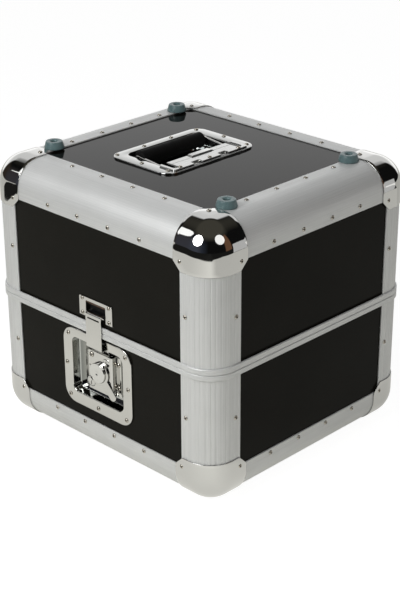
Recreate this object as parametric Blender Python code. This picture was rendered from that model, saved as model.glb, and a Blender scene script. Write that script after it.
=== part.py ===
import math

import bpy
import bmesh
from mathutils import Vector
from mathutils.geometry import tessellate_polygon

# Vinyl record flight case, split in the middle into a base and a hinged lid.
# Metres. +X runs along the latch side, -Y is the latch side, +Z is up.

for old in list(bpy.data.objects):
    bpy.data.objects.remove(old, do_unlink=True)

# Outer planes of the aluminium edges, without corners, feet and closing bands.
caseWidth = 0.385
caseDepth = 0.357
caseHeight = 0.353
seatGap = 0.0003             # air between two pieces that touch
cornerPlate = 0.0010         # thickness of a chromed ball corner
fuse = 0.0004                # how far the parts of one solid run into each other
cutOver = 0.002              # how far a throwaway cutter passes the faces it cuts
caseBottom = seatGap + cornerPlate
caseTop = caseBottom + caseHeight

# Rounded edge profiles.
edgeRadius = 0.036
skin = 0.0016
panelThick = 0.007
legTop = 0.0138              # flat leg on the top and bottom faces
legSide = 0.0102             # flat leg of those bars on the side faces
legUpright = 0.0127
edgeWall = 2 * skin + 2 * seatGap + panelThick
webThick = 0.0016
barEnd = edgeRadius + legTop + seatGap
uprightEnd = edgeRadius + legSide + seatGap
arcSteps = 7                 # facets of every quarter round

# Ball corners.
cornerReach = 0.058
cornerChamfer = 0.0115

# Closing bands, measured from the parting plane.
baseHeight = 0.1740
parting = caseBottom + baseHeight
bandProud = 0.0022
bandLeg = bandProud - seatGap
baseBandHeight = 0.0064
lidBandHeight = 0.0084
bandInnerLeg = 0.010
lidInnerLeg = 0.012
tongueHeight = 0.0020
tongueIn = 0.0040
tongueThick = 0.0016
bandInside = edgeWall + seatGap + skin

# Lining.
liningThick = 0.004
liningWindow = 0.0025        # room round the pans that pass through the lining
liningOut = edgeWall + seatGap
liningRadius = edgeRadius - liningOut

# Feet on the lid.
footHeight = 0.0092
footBase = 0.0127
footTop = 0.0107
footHole = 0.0038
footBevel = 0.0012
footMouth = 0.0022
footClear = 0.0006
footInset = 0.0445
footX = caseWidth / 2 - footInset
footY = caseDepth / 2 - cornerReach - footBase - footClear

# Latch dish on the base front; heights from caseBottom.
latchHalf = 0.0608
latchLow = baseHeight - 0.1122
latchHigh = baseHeight - 0.0090
latchFront = 0.0008
latchThick = 0.0024
latchCorner = 0.019
recessHalf = 0.0455
recessLow = baseHeight - 0.0955
recessHigh = baseHeight - 0.0215
recessCorner = 0.009
recessFloor = 0.0122
dishThick = 0.0012
strapSlotHalf = 0.0170
strapNotch = 0.009
strapSlotDeep = 0.012
strapSlotOver = 0.004
strapSlotBack = 0.0022

# Latch works. out = distance outward from the front plane of the case.
spindleZ = baseHeight - 0.0570
spindleRadius = 0.0040
discRadius = 0.0130
discFront = 0.0015
discBack = -0.0027
bracketFront = -0.0030
bracketThick = 0.0015
bracketHalf = 0.0230
bracketFold = 0.0025
bracketFoot = 0.0310
bracketFlat = 0.0190
bracketSide = 0.0280
bracketShoulder = -0.0065
bracketLow = baseHeight - 0.0840
bracketHigh = baseHeight - 0.0315
barrelX = -0.0150
barrelZ = baseHeight - 0.0740
barrelRadius = 0.0072
barrelSlitHalf = 0.0006
barrelSlitLong = 0.0042
barrelSlitDeep = 0.0015
crankRadius = 0.0095
crankThick = 0.0018
crankPin = 0.0025
crankThrow = 0.0060
slideFront = -0.0100
slideThick = 0.0016
slideHalf = 0.0210
slideLow = baseHeight - 0.0720
slideEar = 0.0016
slideEarHalf = 0.0026
slideEarRoot = 0.004
hookPivotZ = baseHeight - 0.0350
hookPivotOut = -0.0080
hookPin = 0.0013
hookEye = 0.0028
strapHalf = 0.0135
strapThick = 0.0014
strapFront = 0.0044
strapLow = baseHeight - 0.0240
strapHigh = baseHeight + 0.0228
strapTipOut = -0.0050
strapWindowHalf = 0.0102
strapWindowLow = baseHeight + 0.0153
strapWindowHigh = baseHeight + 0.0171
wingAxisOut = 0.0002
wingFront = -0.0008
wingThick = 0.0016
wingKnuckle = 0.0025
wingPin = 0.0012
wingEar = 0.0039
wingPinOut = 0.0036
wingReach = 0.0345
wingTip = 0.0062

# Keeper on the lid front.
keeperHalf = 0.0290
keeperLow = baseHeight + 0.0140
keeperHigh = baseHeight + 0.0393
keeperThick = 0.0013
cupHalf = 0.0175
cupLow = baseHeight + 0.0206
cupHigh = baseHeight + 0.0350
cupFloor = 0.0065
cupWall = 0.0010
cupCorner = 0.0012
keeperArch = 0.0040
keeperArchHalf = 0.0145
keeperFootHalf = 0.0180
keeperNick = 0.0015

# Recessed handle on the lid top.
handleMidX = -0.0237
handleMidY = -0.0030
handleHalfX = 0.0516
handleHalfY = 0.0775
handleCorner = 0.019
handleLip = 0.0020
wellLowX = -0.0645
wellHighX = 0.0215
wellHalfY = 0.0605
wellCorner = 0.008
wellDepth = 0.0150
hingeX = 0.0140
hingeDrop = 0.0090
hingeRod = 0.0025
gripX = -0.0500
gripDrop = 0.0030
gripRadius = 0.0102
gripCore = 0.0035
armThick = 0.0030
armWidth = 0.0094
armClear = 0.0037
armHalf = wellHalfY - armClear - armThick / 2
gripBevel = 0.0018
plateLowX = -0.0024
plateHighX = 0.0240
plateClear = 0.0010
plateHalfY = armHalf - armThick / 2 - plateClear
plateThick = 0.0016
plateCorner = 0.002
plateLipRise = 0.0068
plateLipNear = 0.0170
plateLipFar = 0.0250
springWindowHalf = 0.0060
springWindowNear = 0.0045
springWindowFar = 0.0055
lugHalf = 0.0048
lugDrop = 0.0042
lugEnd = 0.004
springAt = 0.0235
springLength = 0.0110
springWire = 0.0006

# Rear hinges.
rearInset = 0.0138
rearAxisOut = 0.0054
rearKnuckle = 0.0028
rearPin = 0.0015
rearHalf = 0.025
rearHingeX = caseWidth / 2 - edgeRadius - legUpright - rearInset - rearHalf
rearPinEnd = 0.002
rearStopReach = 0.0075
rearMiddle = 0.0086
rearLeaf = 0.0016
rearLeafLong = 0.044
rearStopAngle = math.radians(50.4)

halfX = caseWidth / 2
halfY = caseDepth / 2


def material(name, colour, roughness, metallic):
    mat = bpy.data.materials.new(name)
    mat.use_nodes = True
    shader = mat.node_tree.nodes["Principled BSDF"]
    shader.inputs["Base Color"].default_value = (*colour, 1.0)
    shader.inputs["Roughness"].default_value = roughness
    shader.inputs["Metallic"].default_value = metallic
    mat.diffuse_color = (*colour, 1.0)
    return mat


aluminium = material("satin_aluminium", (0.62, 0.63, 0.63), 0.38, 1.0)
chrome = material("chromed_steel", (0.78, 0.79, 0.80), 0.08, 1.0)
nickel = material("plated_steel", (0.66, 0.66, 0.64), 0.22, 1.0)
laminate = material("black_laminate", (0.018, 0.018, 0.017), 0.30, 0.0)
felt = material("grey_felt", (0.045, 0.045, 0.048), 0.95, 0.0)
footRubber = material("grey_rubber", (0.17, 0.25, 0.26), 0.60, 0.0)
gripRubber = material("black_rubber", (0.012, 0.012, 0.012), 0.70, 0.0)
springSteel = material("spring_steel", (0.50, 0.50, 0.50), 0.30, 1.0)


def body(name, verts, faces, mat, axis=None):
    """One closed mesh object in world coordinates, optionally carried by a joint axis."""
    bm = bmesh.new()
    points = [bm.verts.new(v) for v in verts]
    for face in faces:
        try:
            bm.faces.new([points[i] for i in face])
        except ValueError:
            continue
    bmesh.ops.remove_doubles(bm, verts=bm.verts[:], dist=1e-6)
    bmesh.ops.recalc_face_normals(bm, faces=bm.faces[:])
    mesh = bpy.data.meshes.new(name)
    bm.to_mesh(mesh)
    bm.free()
    obj = bpy.data.objects.new(name, mesh)
    bpy.context.scene.collection.objects.link(obj)
    if mat is not None:
        mesh.materials.append(mat)
    if axis is not None:
        carry(obj, axis)
    return obj


def carry(obj, axis):
    obj.parent = axis
    obj.matrix_parent_inverse = axis.matrix_world.inverted()


def axisMarker(name, location, parent=None):
    """Empty on a joint axis. Its children turn or slide about it."""
    empty = bpy.data.objects.new(name, None)
    empty.empty_display_size = 0.02
    empty.location = location
    empty.hide_render = True
    bpy.context.scene.collection.objects.link(empty)
    bpy.context.view_layer.update()
    if parent is not None:
        carry(empty, parent)
        bpy.context.view_layer.update()
    return empty


def combine(target, others, operation):
    """Join or cut the target with throwaway solids and keep the result as its own mesh."""
    for other in others:
        modifier = target.modifiers.new("boolean", 'BOOLEAN')
        modifier.operation = operation
        modifier.solver = 'EXACT'
        modifier.object = other
        graph = bpy.context.evaluated_depsgraph_get()
        result = bpy.data.meshes.new_from_object(target.evaluated_get(graph))
        target.modifiers.remove(modifier)
        spent = target.data
        target.data = result
        result.name = target.name
        bpy.data.meshes.remove(spent)
        bpy.data.objects.remove(other, do_unlink=True)
    bm = bmesh.new()
    bm.from_mesh(target.data)
    bmesh.ops.remove_doubles(bm, verts=bm.verts[:], dist=2e-6)
    bm.to_mesh(target.data)
    bm.free()
    return target


def smooth(obj, degrees=35):
    obj.data.shade_smooth()
    bm = bmesh.new()
    bm.from_mesh(obj.data)
    for edge in bm.edges:
        if edge.is_manifold and edge.calc_face_angle(0.0) > math.radians(degrees):
            edge.smooth = False
    bm.to_mesh(obj.data)
    bm.free()
    return obj


def front(u, v, out):
    return (u, -halfY - out, caseBottom + v)


def back(u, v, out):
    return (u, halfY + out, caseBottom + v)


def flat(u, v, height):
    return (u, v, height)


def prism(loops, low, high, place):
    """Outline loops[0] with the remaining loops as holes, drawn from low to high."""
    verts = []
    faces = []
    total = sum(len(loop) for loop in loops)
    for level in (low, high):
        for loop in loops:
            verts += [place(u, v, level) for u, v in loop]
    start = 0
    for loop in loops:
        count = len(loop)
        for i in range(count):
            j = (i + 1) % count
            faces.append((start + i, start + j, total + start + j, total + start + i))
        start += count
    for a, b, c in tessellate_polygon([[Vector((u, v, 0.0)) for u, v in loop] for loop in loops]):
        faces.append((a, b, c))
        faces.append((total + a, total + b, total + c))
    return verts, faces


def arc(cx, cy, radius, start, stop, steps):
    angles = [math.radians(start + (stop - start) * i / steps) for i in range(steps + 1)]
    return [(cx + radius * math.cos(a), cy + radius * math.sin(a)) for a in angles]


def circle(cx, cy, radius, steps=32):
    return arc(cx, cy, radius, 0, 360 - 360 / steps, steps - 1)


def roundRect(lowU, highU, lowV, highV, radius, steps=6):
    return (arc(highU - radius, highV - radius, radius, 0, 90, steps)
            + arc(lowU + radius, highV - radius, radius, 90, 180, steps)
            + arc(lowU + radius, lowV + radius, radius, 180, 270, steps)
            + arc(highU - radius, lowV + radius, radius, 270, 360, steps))


def box(low, high):
    loop = [(low[0], low[1]), (high[0], low[1]), (high[0], high[1]), (low[0], high[1])]
    return prism([loop], low[2], high[2], flat)


def solid(geometry):
    return body("solid", geometry[0], geometry[1], None)


def rod(centre, radius, low, high, along, steps=24):
    """Round bar. along is 'x', 'y' or 'z' and centre holds the two other coordinates."""
    maps = {"x": lambda u, v, w: (w, u, v), "y": lambda u, v, w: (u, w, v), "z": flat}
    return prism([circle(centre[0], centre[1], radius, steps)], low, high, maps[along])


def edgeSection(legU, legV):
    """Hollow edge profile. u and v run inward from the two outer planes it covers."""
    r = edgeRadius
    t = edgeWall
    outline = arc(r, r, r, -90, -180, arcSteps)
    outline += [(0, r + legU), (skin, r + legU), (skin, r)]
    outline += [(t - skin, r), (t - skin, r + legU), (t, r + legU)]
    outline += arc(r, r, r - t, -180, -90, arcSteps)
    outline += [(r + legV, t), (r + legV, t - skin), (r, t - skin)]
    outline += [(r, skin), (r + legV, skin), (r + legV, 0)]
    outerHole = math.degrees(math.asin(webThick / (r - skin)))
    innerHole = math.degrees(math.asin(webThick / (r - t + skin)))
    hole = arc(r, r, r - skin, -90 - outerHole, -180 + outerHole, arcSteps)
    hole += arc(r, r, r - t + skin, -180 + innerHole, -90 - innerHole, arcSteps)
    return [outline, hole]


def edgeBars(prefix, level, inward, axis):
    """The four bars round the bottom or the top. inward is +1 from the floor up, -1 from the top down."""
    section = edgeSection(legSide, legTop)
    for side, sign in (("front", -1), ("back", 1)):
        reach = halfX - barEnd
        verts, faces = prism(section, -reach, reach,
                             lambda u, v, w: (w, sign * (halfY - u), level + inward * v))
        smooth(body(f"{prefix}_edge_{side}", verts, faces, aluminium, axis))
    for side, sign in (("left", -1), ("right", 1)):
        reach = halfY - barEnd
        verts, faces = prism(section, -reach, reach,
                             lambda u, v, w: (sign * (halfX - u), w, level + inward * v))
        smooth(body(f"{prefix}_edge_{side}", verts, faces, aluminium, axis))


def uprights(prefix, low, high, axis):
    section = edgeSection(legUpright, legUpright)
    for sideY, signY in (("front", -1), ("back", 1)):
        for sideX, signX in (("left", -1), ("right", 1)):
            verts, faces = prism(section, low, high,
                                 lambda u, v, w: (signX * (halfX - u), signY * (halfY - v), w))
            smooth(body(f"{prefix}_upright_{sideY}_{sideX}", verts, faces, aluminium, axis))


def cornerSheet():
    """Ball corner as (anchor, normal) pairs, so that any offset of it shares the same faces."""
    r = edgeRadius
    far = cornerReach
    marks = {}
    points = []
    faces = []

    def mark(anchor, normal):
        key = tuple(round(c, 7) for c in (*anchor, *normal))
        if key not in marks:
            marks[key] = len(points)
            points.append((anchor, normal))
        return marks[key]

    def add(ids):
        ring = [i for n, i in enumerate(ids) if i != ids[n - 1]]
        if len(ring) > 2:
            faces.append(tuple(ring))

    quarter = [math.pi / 2 * k / arcSteps for k in range(arcSteps + 1)]

    def ball(tilt, turn):
        return mark((r, r, r), (-math.sin(tilt) * math.cos(turn), -math.sin(tilt) * math.sin(turn),
                                -math.cos(tilt)))

    for i in range(arcSteps):
        for j in range(arcSteps):
            add([ball(quarter[i], quarter[j]), ball(quarter[i + 1], quarter[j]),
                 ball(quarter[i + 1], quarter[j + 1]), ball(quarter[i], quarter[j + 1])])
    for first in range(3):
        second = (first + 1) % 3
        third = (first + 2) % 3

        def place(u, v, w):
            out = [0.0, 0.0, 0.0]
            out[first], out[second], out[third] = u, v, w
            return tuple(out)

        for j in range(arcSteps):
            a, b = quarter[j], quarter[j + 1]
            add([mark(place(u, r, r), place(0.0, -math.cos(t), -math.sin(t)))
                 for u, t in ((r, a), (far, a), (far, b), (r, b))])
        cut = far - cornerChamfer
        add([mark(place(u, v, r), place(0.0, 0.0, -1.0))
             for u, v in ((r, r), (far, r), (far, cut), (cut, far), (r, far))])
    return points, faces


def ballCorners(prefix, level, inward, axis):
    points, sheet = cornerSheet()
    count = len(points)
    edges = {}
    for face in sheet:
        for n, a in enumerate(face):
            b = face[(n + 1) % len(face)]
            key = (min(a, b), max(a, b))
            edges[key] = edges.get(key, 0) + 1
    rim = [key for key, uses in edges.items() if uses == 1]
    faces = list(sheet) + [tuple(count + i for i in face) for face in sheet]
    faces += [(a, b, count + b, count + a) for a, b in rim]
    for sideY, signY in (("front", -1), ("back", 1)):
        for sideX, signX in (("left", -1), ("right", 1)):
            verts = []
            for lift in (seatGap + cornerPlate, seatGap):
                for anchor, normal in points:
                    u, v, w = (c + (edgeRadius + lift) * n for c, n in zip(anchor, normal))
                    verts.append((signX * (halfX - u), signY * (halfY - v), level + inward * w))
            smooth(body(f"{prefix}_corner_{sideY}_{sideX}", verts, faces, chrome, axis), 50)


def caseLoop(out, steps=arcSteps):
    return roundRect(-halfX - out, halfX + out, -halfY - out, halfY + out, edgeRadius + out, steps)


def band(name, section, axis):
    """Closing profile: (out, height) points swept round the case."""
    verts = []
    faces = []
    loops = [caseLoop(out) for out, _ in section]
    count = len(loops[0])
    for (_, height), loop in zip(section, loops):
        verts += [(x, y, parting + height) for x, y in loop]
    for i in range(len(section)):
        k = (i + 1) % len(section)
        for j in range(count):
            m = (j + 1) % count
            faces.append((i * count + j, i * count + m, k * count + m, k * count + j))
    return smooth(body(name, verts, faces, aluminium, axis))


def tray(name, low, high, axis):
    """Soft lining: a round-edged tub, closed at low and open at high."""
    up = 1 if high > low else -1
    rows = []
    steps = 4
    for grow, turn in ((0.0, 1), (liningThick, -1)):
        out = -liningOut - grow
        radius = liningRadius - grow
        part = []
        for i in range(steps + 1):
            tilt = math.pi / 2 * i / steps
            lift = grow + radius * (1 - math.cos(tilt))
            part.append((out - radius * (1 - math.sin(tilt)), low + up * lift))
        part.append((out, high))
        rows += part if turn == 1 else part[::-1]
    verts = []
    faces = []
    loops = [roundRect(-halfX - out, halfX + out, -halfY - out, halfY + out, max(edgeRadius + out, 0.0), 4)
             for out, _ in rows]
    count = len(loops[0])
    for (_, height), loop in zip(rows, loops):
        verts += [(x, y, height) for x, y in loop]
    for i in range(len(rows) - 1):
        for j in range(count):
            m = (j + 1) % count
            faces.append((i * count + j, i * count + m, (i + 1) * count + m, (i + 1) * count + j))
    faces.append(tuple(range(count)))
    faces.append(tuple(range((len(rows) - 1) * count, len(rows) * count)))
    return smooth(body(name, verts, faces, felt, axis))


def pressedDish(name, outline, opening, rim, frontOut, backOut, floorOut, floorThick, place, mat, axis):
    """Pressed plate: a flange from backOut to frontOut and a pan down to floorOut.
    rim is the opening grown by the wall thickness."""
    verts = []
    faces = []

    def ring(loop, level):
        start = len(verts)
        verts.extend(place(u, v, level) for u, v in loop)
        return list(range(start, start + len(loop)))

    def wall(a, b):
        for i in range(len(a)):
            j = (i + 1) % len(a)
            faces.append((a[i], a[j], b[j], b[i]))

    def face(loops, rings):
        ids = [i for r in rings for i in r]
        for tri in tessellate_polygon([[Vector((u, v, 0.0)) for u, v in loop] for loop in loops]):
            faces.append(tuple(ids[i] for i in tri))

    outFront = ring(outline, frontOut)
    outBack = ring(outline, backOut)
    rimTop = ring(rim, backOut)
    rimFloor = ring(rim, floorOut - floorThick)
    openFront = ring(opening, frontOut)
    openFloor = ring(opening, floorOut)
    wall(outFront, outBack)
    wall(rimTop, rimFloor)
    wall(openFront, openFloor)
    face([outline, opening], [outFront, openFront])
    face([outline, rim], [outBack, rimTop])
    face([rim], [rimFloor])
    face([opening], [openFloor])
    return body(name, verts, faces, mat, axis)


def sidePanels(prefix, low, high, axis):
    reachX = halfX - edgeRadius - seatGap
    reachY = halfY - edgeRadius - seatGap
    inner = skin + seatGap
    panels = {}
    for side, sign in (("front", -1), ("back", 1)):
        near, far = sorted((sign * (halfY - inner), sign * (halfY - inner - panelThick)))
        verts, faces = box((-reachX, near, low), (reachX, far, high))
        panels[side] = body(f"{prefix}_panel_{side}", verts, faces, laminate, axis)
    for side, sign in (("left", -1), ("right", 1)):
        near, far = sorted((sign * (halfX - inner), sign * (halfX - inner - panelThick)))
        verts, faces = box((near, -reachY, low), (far, reachY, high))
        panels[side] = body(f"{prefix}_panel_{side}", verts, faces, laminate, axis)
    return panels


def flatPanel(name, level, inward, axis):
    reachX = halfX - edgeRadius - seatGap
    reachY = halfY - edgeRadius - seatGap
    near = level + inward * (skin + seatGap)
    low, high = sorted((near, near + inward * panelThick))
    verts, faces = box((-reachX, -reachY, low), (reachX, reachY, high))
    return body(name, verts, faces, laminate, axis)


def cutFront(panel, halfWide, low, high):
    tool = solid(box((-halfWide, -halfY - cutOver, caseBottom + low),
                     (halfWide, -halfY + edgeWall + liningThick + cutOver, caseBottom + high)))
    return combine(panel, [tool], 'DIFFERENCE')


def baseShell():
    edgeBars("base", caseBottom, 1, None)
    uprights("base", caseBottom + uprightEnd, parting - webThick - 1.5 * seatGap, None)
    ballCorners("base", caseBottom, 1, None)
    flatPanel("base_panel_floor", caseBottom, 1, None)
    top = parting - webThick - 1.5 * seatGap
    panels = sidePanels("base", caseBottom + edgeRadius + seatGap, top, None)
    clear = dishThick + seatGap
    cutFront(panels["front"], recessHalf + clear, recessLow - clear, recessHigh + clear)
    cutFront(panels["front"], strapSlotHalf, recessHigh, recessHigh + strapNotch)
    half = seatGap / 2
    out, deep = bandProud, bandInside
    band("base_band", [(out, -baseBandHeight), (out, -half), (-tongueIn, -half), (-tongueIn, tongueHeight),
                       (-tongueIn - tongueThick, tongueHeight), (-tongueIn - tongueThick, -half),
                       (-deep, -half), (-deep, -bandInnerLeg), (-deep + skin, -bandInnerLeg),
                       (-deep + skin, -half - webThick), (out - bandLeg, -half - webThick),
                       (out - bandLeg, -baseBandHeight)], None)
    lining = tray("base_lining", caseBottom + liningOut, parting - bandInnerLeg - seatGap, None)
    cutFront(lining, recessHalf + liningWindow, recessLow - liningWindow, recessHigh + liningWindow)


def lidShell(axis):
    edgeBars("lid", caseTop, -1, axis)
    groove = tongueHeight + 2 * seatGap
    web = groove + webThick
    low = parting + web + seatGap
    uprights("lid", low, caseTop - uprightEnd, axis)
    ballCorners("lid", caseTop, -1, axis)
    panels = sidePanels("lid", low, caseTop - edgeRadius - seatGap, axis)
    clear = cupWall + seatGap
    cutFront(panels["front"], cupHalf + clear, cupLow - clear, cupHigh + clear)
    top = flatPanel("lid_panel_top", caseTop, -1, axis)
    clear = dishThick + seatGap
    tool = solid(box((wellLowX - clear, handleMidY - wellHalfY - clear, caseTop - edgeWall - cutOver),
                     (wellHighX + clear, handleMidY + wellHalfY + clear, caseTop + cutOver)))
    combine(top, [tool], 'DIFFERENCE')
    half = seatGap / 2
    out, deep = bandProud, bandInside
    grooveOut = -tongueIn + seatGap
    grooveIn = -tongueIn - tongueThick - seatGap
    band("lid_band", [(out, lidBandHeight), (out, half), (grooveOut, half), (grooveOut, groove),
                      (grooveIn, groove), (grooveIn, half), (-deep, half), (-deep, lidInnerLeg),
                      (-deep + skin, lidInnerLeg), (-deep + skin, web), (out - bandLeg, web),
                      (out - bandLeg, lidBandHeight)], axis)
    lining = tray("lid_lining", caseTop - liningOut, parting + lidInnerLeg + seatGap, axis)
    clear = liningWindow
    deep = liningOut + liningThick + cutOver
    tool = solid(box((wellLowX - clear, handleMidY - wellHalfY - clear, caseTop - deep),
                     (wellHighX + clear, handleMidY + wellHalfY + clear, caseTop)))
    combine(lining, [tool], 'DIFFERENCE')


def feet(axis):
    seat = caseTop - skin
    for sideY, signY in (("front", -1), ("back", 1)):
        for sideX, signX in (("left", -1), ("right", 1)):
            rim = skin + footHeight
            profile = [(footHole, 0.0), (footBase, 0.0), (footBase, skin + footBevel),
                       (footTop, rim - footBevel), (footTop - footBevel, rim),
                       (footHole + footMouth, rim), (footHole, rim - footBevel)]
            verts = []
            faces = []
            steps = 20
            for radius, height in profile:
                for k in range(steps):
                    a = 2 * math.pi * k / steps
                    x = signX * footX + radius * math.cos(a)
                    y = signY * footY + radius * math.sin(a)
                    verts.append((x, y, seat + height))
            rows = len(profile)
            for i in range(rows):
                n = (i + 1) % rows
                for k in range(steps):
                    m = (k + 1) % steps
                    faces.append((i * steps + k, i * steps + m, n * steps + m, n * steps + k))
            foot = body(f"foot_{sideY}_{sideX}", verts, faces, footRubber, axis)
            inside = halfX - edgeRadius - legTop - seatGap
            near, far = sorted((signX * inside, signX * (footX + footBase + cutOver)))
            wide = footBase + cutOver
            tool = solid(box((near, signY * footY - wide, seat - cutOver),
                             (far, signY * footY + wide, caseTop + seatGap)))
            smooth(combine(foot, [tool], 'DIFFERENCE'))


def latchDish():
    outline = roundRect(-latchHalf, latchHalf, latchLow, latchHigh, latchCorner, 8)
    opening = roundRect(-recessHalf, recessHalf, recessLow, recessHigh, recessCorner, 6)
    g = dishThick
    rim = roundRect(-recessHalf - g, recessHalf + g, recessLow - g, recessHigh + g, recessCorner + g, 6)
    dish = pressedDish("latch_dish", outline, opening, rim, latchFront, latchFront - latchThick,
                       -recessFloor, dishThick, front, nickel, None)
    low, high = recessHigh - strapSlotDeep, latchHigh + strapSlotOver
    slot = [(-strapSlotHalf, low), (strapSlotHalf, low), (strapSlotHalf, high), (-strapSlotHalf, high)]
    tool = solid(prism([slot], hookPivotOut - strapSlotBack, latchFront + cutOver, front))
    smooth(combine(dish, [tool], 'DIFFERENCE'))


def latchBracket():
    """Folded sheet over the recess: a foot and a round fold on the right, a sloped side on the left."""
    t = bracketThick
    backOut = bracketFront - t
    foot = -recessFloor + seatGap
    slope = (bracketFront - bracketShoulder) / (bracketSide - bracketFlat)
    drop = t * math.sqrt(1 + slope * slope)
    foldX, foldOut = bracketHalf - bracketFold, bracketFront - bracketFold
    section = [(-bracketSide, foot), (-bracketSide, bracketShoulder), (-bracketFlat, bracketFront)]
    section += arc(foldX, foldOut, bracketFold, 90, 0, 5)
    section += [(bracketHalf, foot + t), (bracketFoot, foot + t), (bracketFoot, foot), (bracketHalf - t, foot)]
    section += arc(foldX, foldOut, bracketFold - t, 0, 90, 5)
    section += [(-bracketFlat + (drop - t) / slope, backOut),
                (-bracketSide + t, bracketFront - drop - slope * (bracketSide - t - bracketFlat)),
                (-bracketSide + t, foot)]
    verts, faces = prism([section], bracketLow, bracketHigh, lambda x, out, z: front(x, z, out))
    bracket = body("latch_bracket", verts, faces, nickel)
    stud = prism([circle(barrelX, barrelZ, barrelRadius, 24)], bracketFront - 2 * fuse, bracketFront + fuse, front)
    combine(bracket, [solid(stud)], 'UNION')
    left, right = barrelX - barrelSlitHalf, barrelX + barrelSlitHalf
    low, high = barrelZ - barrelSlitLong, barrelZ + barrelSlitLong
    slit = [(left, low), (right, low), (right, high), (left, high)]
    deep = bracketFront + fuse - barrelSlitDeep
    hole = prism([circle(0.0, spindleZ, spindleRadius + seatGap, 24)], backOut - cutOver,
                 bracketFront + cutOver, front)
    combine(bracket, [solid(prism([slit], deep, bracketFront + cutOver, front)), solid(hole)], 'DIFFERENCE')
    smooth(bracket)


def aslant(along, across):
    """Point of the latch face, along the resting wing and across it."""
    c = math.sqrt(0.5)
    return (c * (along + across), spindleZ + c * (across - along))


def latchDisc(axis):
    verts, faces = prism([circle(0.0, spindleZ, discRadius, 40)], discBack, discFront, front)
    disc = body("latch_disc", verts, faces, nickel)
    crankBack = bracketFront - bracketThick - seatGap - crankThick
    pinU, pinV = aslant(crankThrow, 0.0)
    parts = [prism([circle(0.0, spindleZ, spindleRadius, 24)], crankBack + fuse, discBack + fuse, front),
             prism([circle(0.0, spindleZ, crankRadius, 32)], crankBack,
                   bracketFront - bracketThick - seatGap, front),
             prism([circle(pinU, pinV, crankPin, 20)], slideFront - slideThick + seatGap,
                   crankBack + fuse, front)]
    for sign in (-1, 1):
        parts.append(crossPin(wingPin, sign * (discRadius - 2 * fuse), sign * (discRadius + wingPinOut)))
    combine(disc, [solid(p) for p in parts], 'UNION')
    carry(smooth(disc), axis)


def crossPin(radius, low, high, steps=16):
    """Round bar across the wing, on the wing's hinge axis."""
    def place(u, v, w):
        x, z = aslant(u, w)
        return front(x, z, v)
    return prism([circle(0.0, wingAxisOut, radius, steps)], low, high, place)


def latchWing(axis):
    inner = discRadius + seatGap
    outer = inner + wingEar
    inside = [aslant(inner * math.cos(a), inner * math.sin(a))
              for a in [math.radians(-86 + 172 * k / 24) for k in range(25)]]
    shoulder = 20
    edge = [aslant(outer * math.cos(a), outer * math.sin(a))
            for a in [math.radians(86 - k * (86 - shoulder) / 8) for k in range(9)]]
    tip = [aslant(wingReach + wingTip * math.cos(a), wingTip * math.sin(a))
           for a in [math.radians(75 - 150 * k / 12) for k in range(13)]]
    mirror = [aslant(outer * math.cos(a), -outer * math.sin(a))
              for a in [math.radians(shoulder + k * (86 - shoulder) / 8) for k in range(9)]]
    verts, faces = prism([inside + edge + tip + mirror], wingFront - wingThick, wingFront, front)
    wing = body("latch_wing", verts, faces, nickel)
    knuckles = [crossPin(wingKnuckle, sign * (inner + fuse / 2), sign * (outer - fuse / 2), 20)
                for sign in (-1, 1)]
    combine(wing, [solid(k) for k in knuckles], 'UNION')
    bores = [crossPin(wingPin + seatGap, sign * (inner - cutOver), sign * (outer + cutOver), 16)
             for sign in (-1, 1)]
    combine(wing, [solid(b) for b in bores], 'DIFFERENCE')
    carry(smooth(wing), axis)


def sideways(u, v, w):
    return front(w, v, u)


def latchSlide(axis):
    pinU, pinV = aslant(crankThrow, 0.0)
    high = crankPin + seatGap
    left, right = pinU - high - seatGap, crankThrow + high + seatGap
    slot = [(left, pinV - high), (right, pinV - high), (right, pinV + high), (left, pinV + high)]
    top = hookPivotZ - hookEye - 2 * seatGap
    outline = [(-slideHalf, slideLow), (slideHalf, slideLow), (slideHalf, top), (-slideHalf, top)]
    verts, faces = prism([outline, slot], slideFront - slideThick, slideFront, front)
    slide = body("latch_slide", verts, faces, nickel)
    ears = []
    for sign in (-1, 1):
        a, b = sorted((sign * (strapHalf + seatGap), sign * (strapHalf + seatGap + slideEar)))
        near, far = slideFront - slideThick, hookPivotOut + slideEarHalf
        low, high = top - slideEarRoot, hookPivotZ + slideEarHalf
        ear = [(near, low), (far, low), (far, high), (near, high)]
        ears.append(solid(prism([ear], a, b, sideways)))
    reach = strapHalf + seatGap + slideEar / 2
    ears.append(solid(prism([circle(hookPivotOut, hookPivotZ, hookPin, 16)], -reach, reach, sideways)))
    combine(slide, ears, 'UNION')
    carry(smooth(slide), axis)


def latchHook(axis):
    t = strapThick
    inner = hookPivotOut + t / 2
    backFace = strapFront - t
    outline = [(inner - t, hookPivotZ), (inner, hookPivotZ), (inner, strapLow), (strapFront, strapLow),
               (strapFront, strapHigh), (strapTipOut, strapHigh), (strapTipOut, strapHigh - t),
               (backFace, strapHigh - t), (backFace, strapLow + t), (inner - t, strapLow + t)]
    verts, faces = prism([outline], -strapHalf, strapHalf, sideways)
    hook = body("latch_hook", verts, faces, nickel)
    eye = prism([circle(hookPivotOut, hookPivotZ, hookEye, 24)], -strapHalf, strapHalf, sideways)
    combine(hook, [solid(eye)], 'UNION')
    wide = strapHalf + cutOver
    bore = prism([circle(hookPivotOut, hookPivotZ, hookPin + seatGap, 20)], -wide, wide, sideways)
    window = [(-strapWindowHalf, strapWindowLow), (strapWindowHalf, strapWindowLow),
              (strapWindowHalf, strapWindowHigh), (-strapWindowHalf, strapWindowHigh)]
    cutter = prism([window], backFace - cutOver, strapFront + cutOver, front)
    combine(hook, [solid(bore), solid(cutter)], 'DIFFERENCE')
    carry(smooth(hook), axis)


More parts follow.
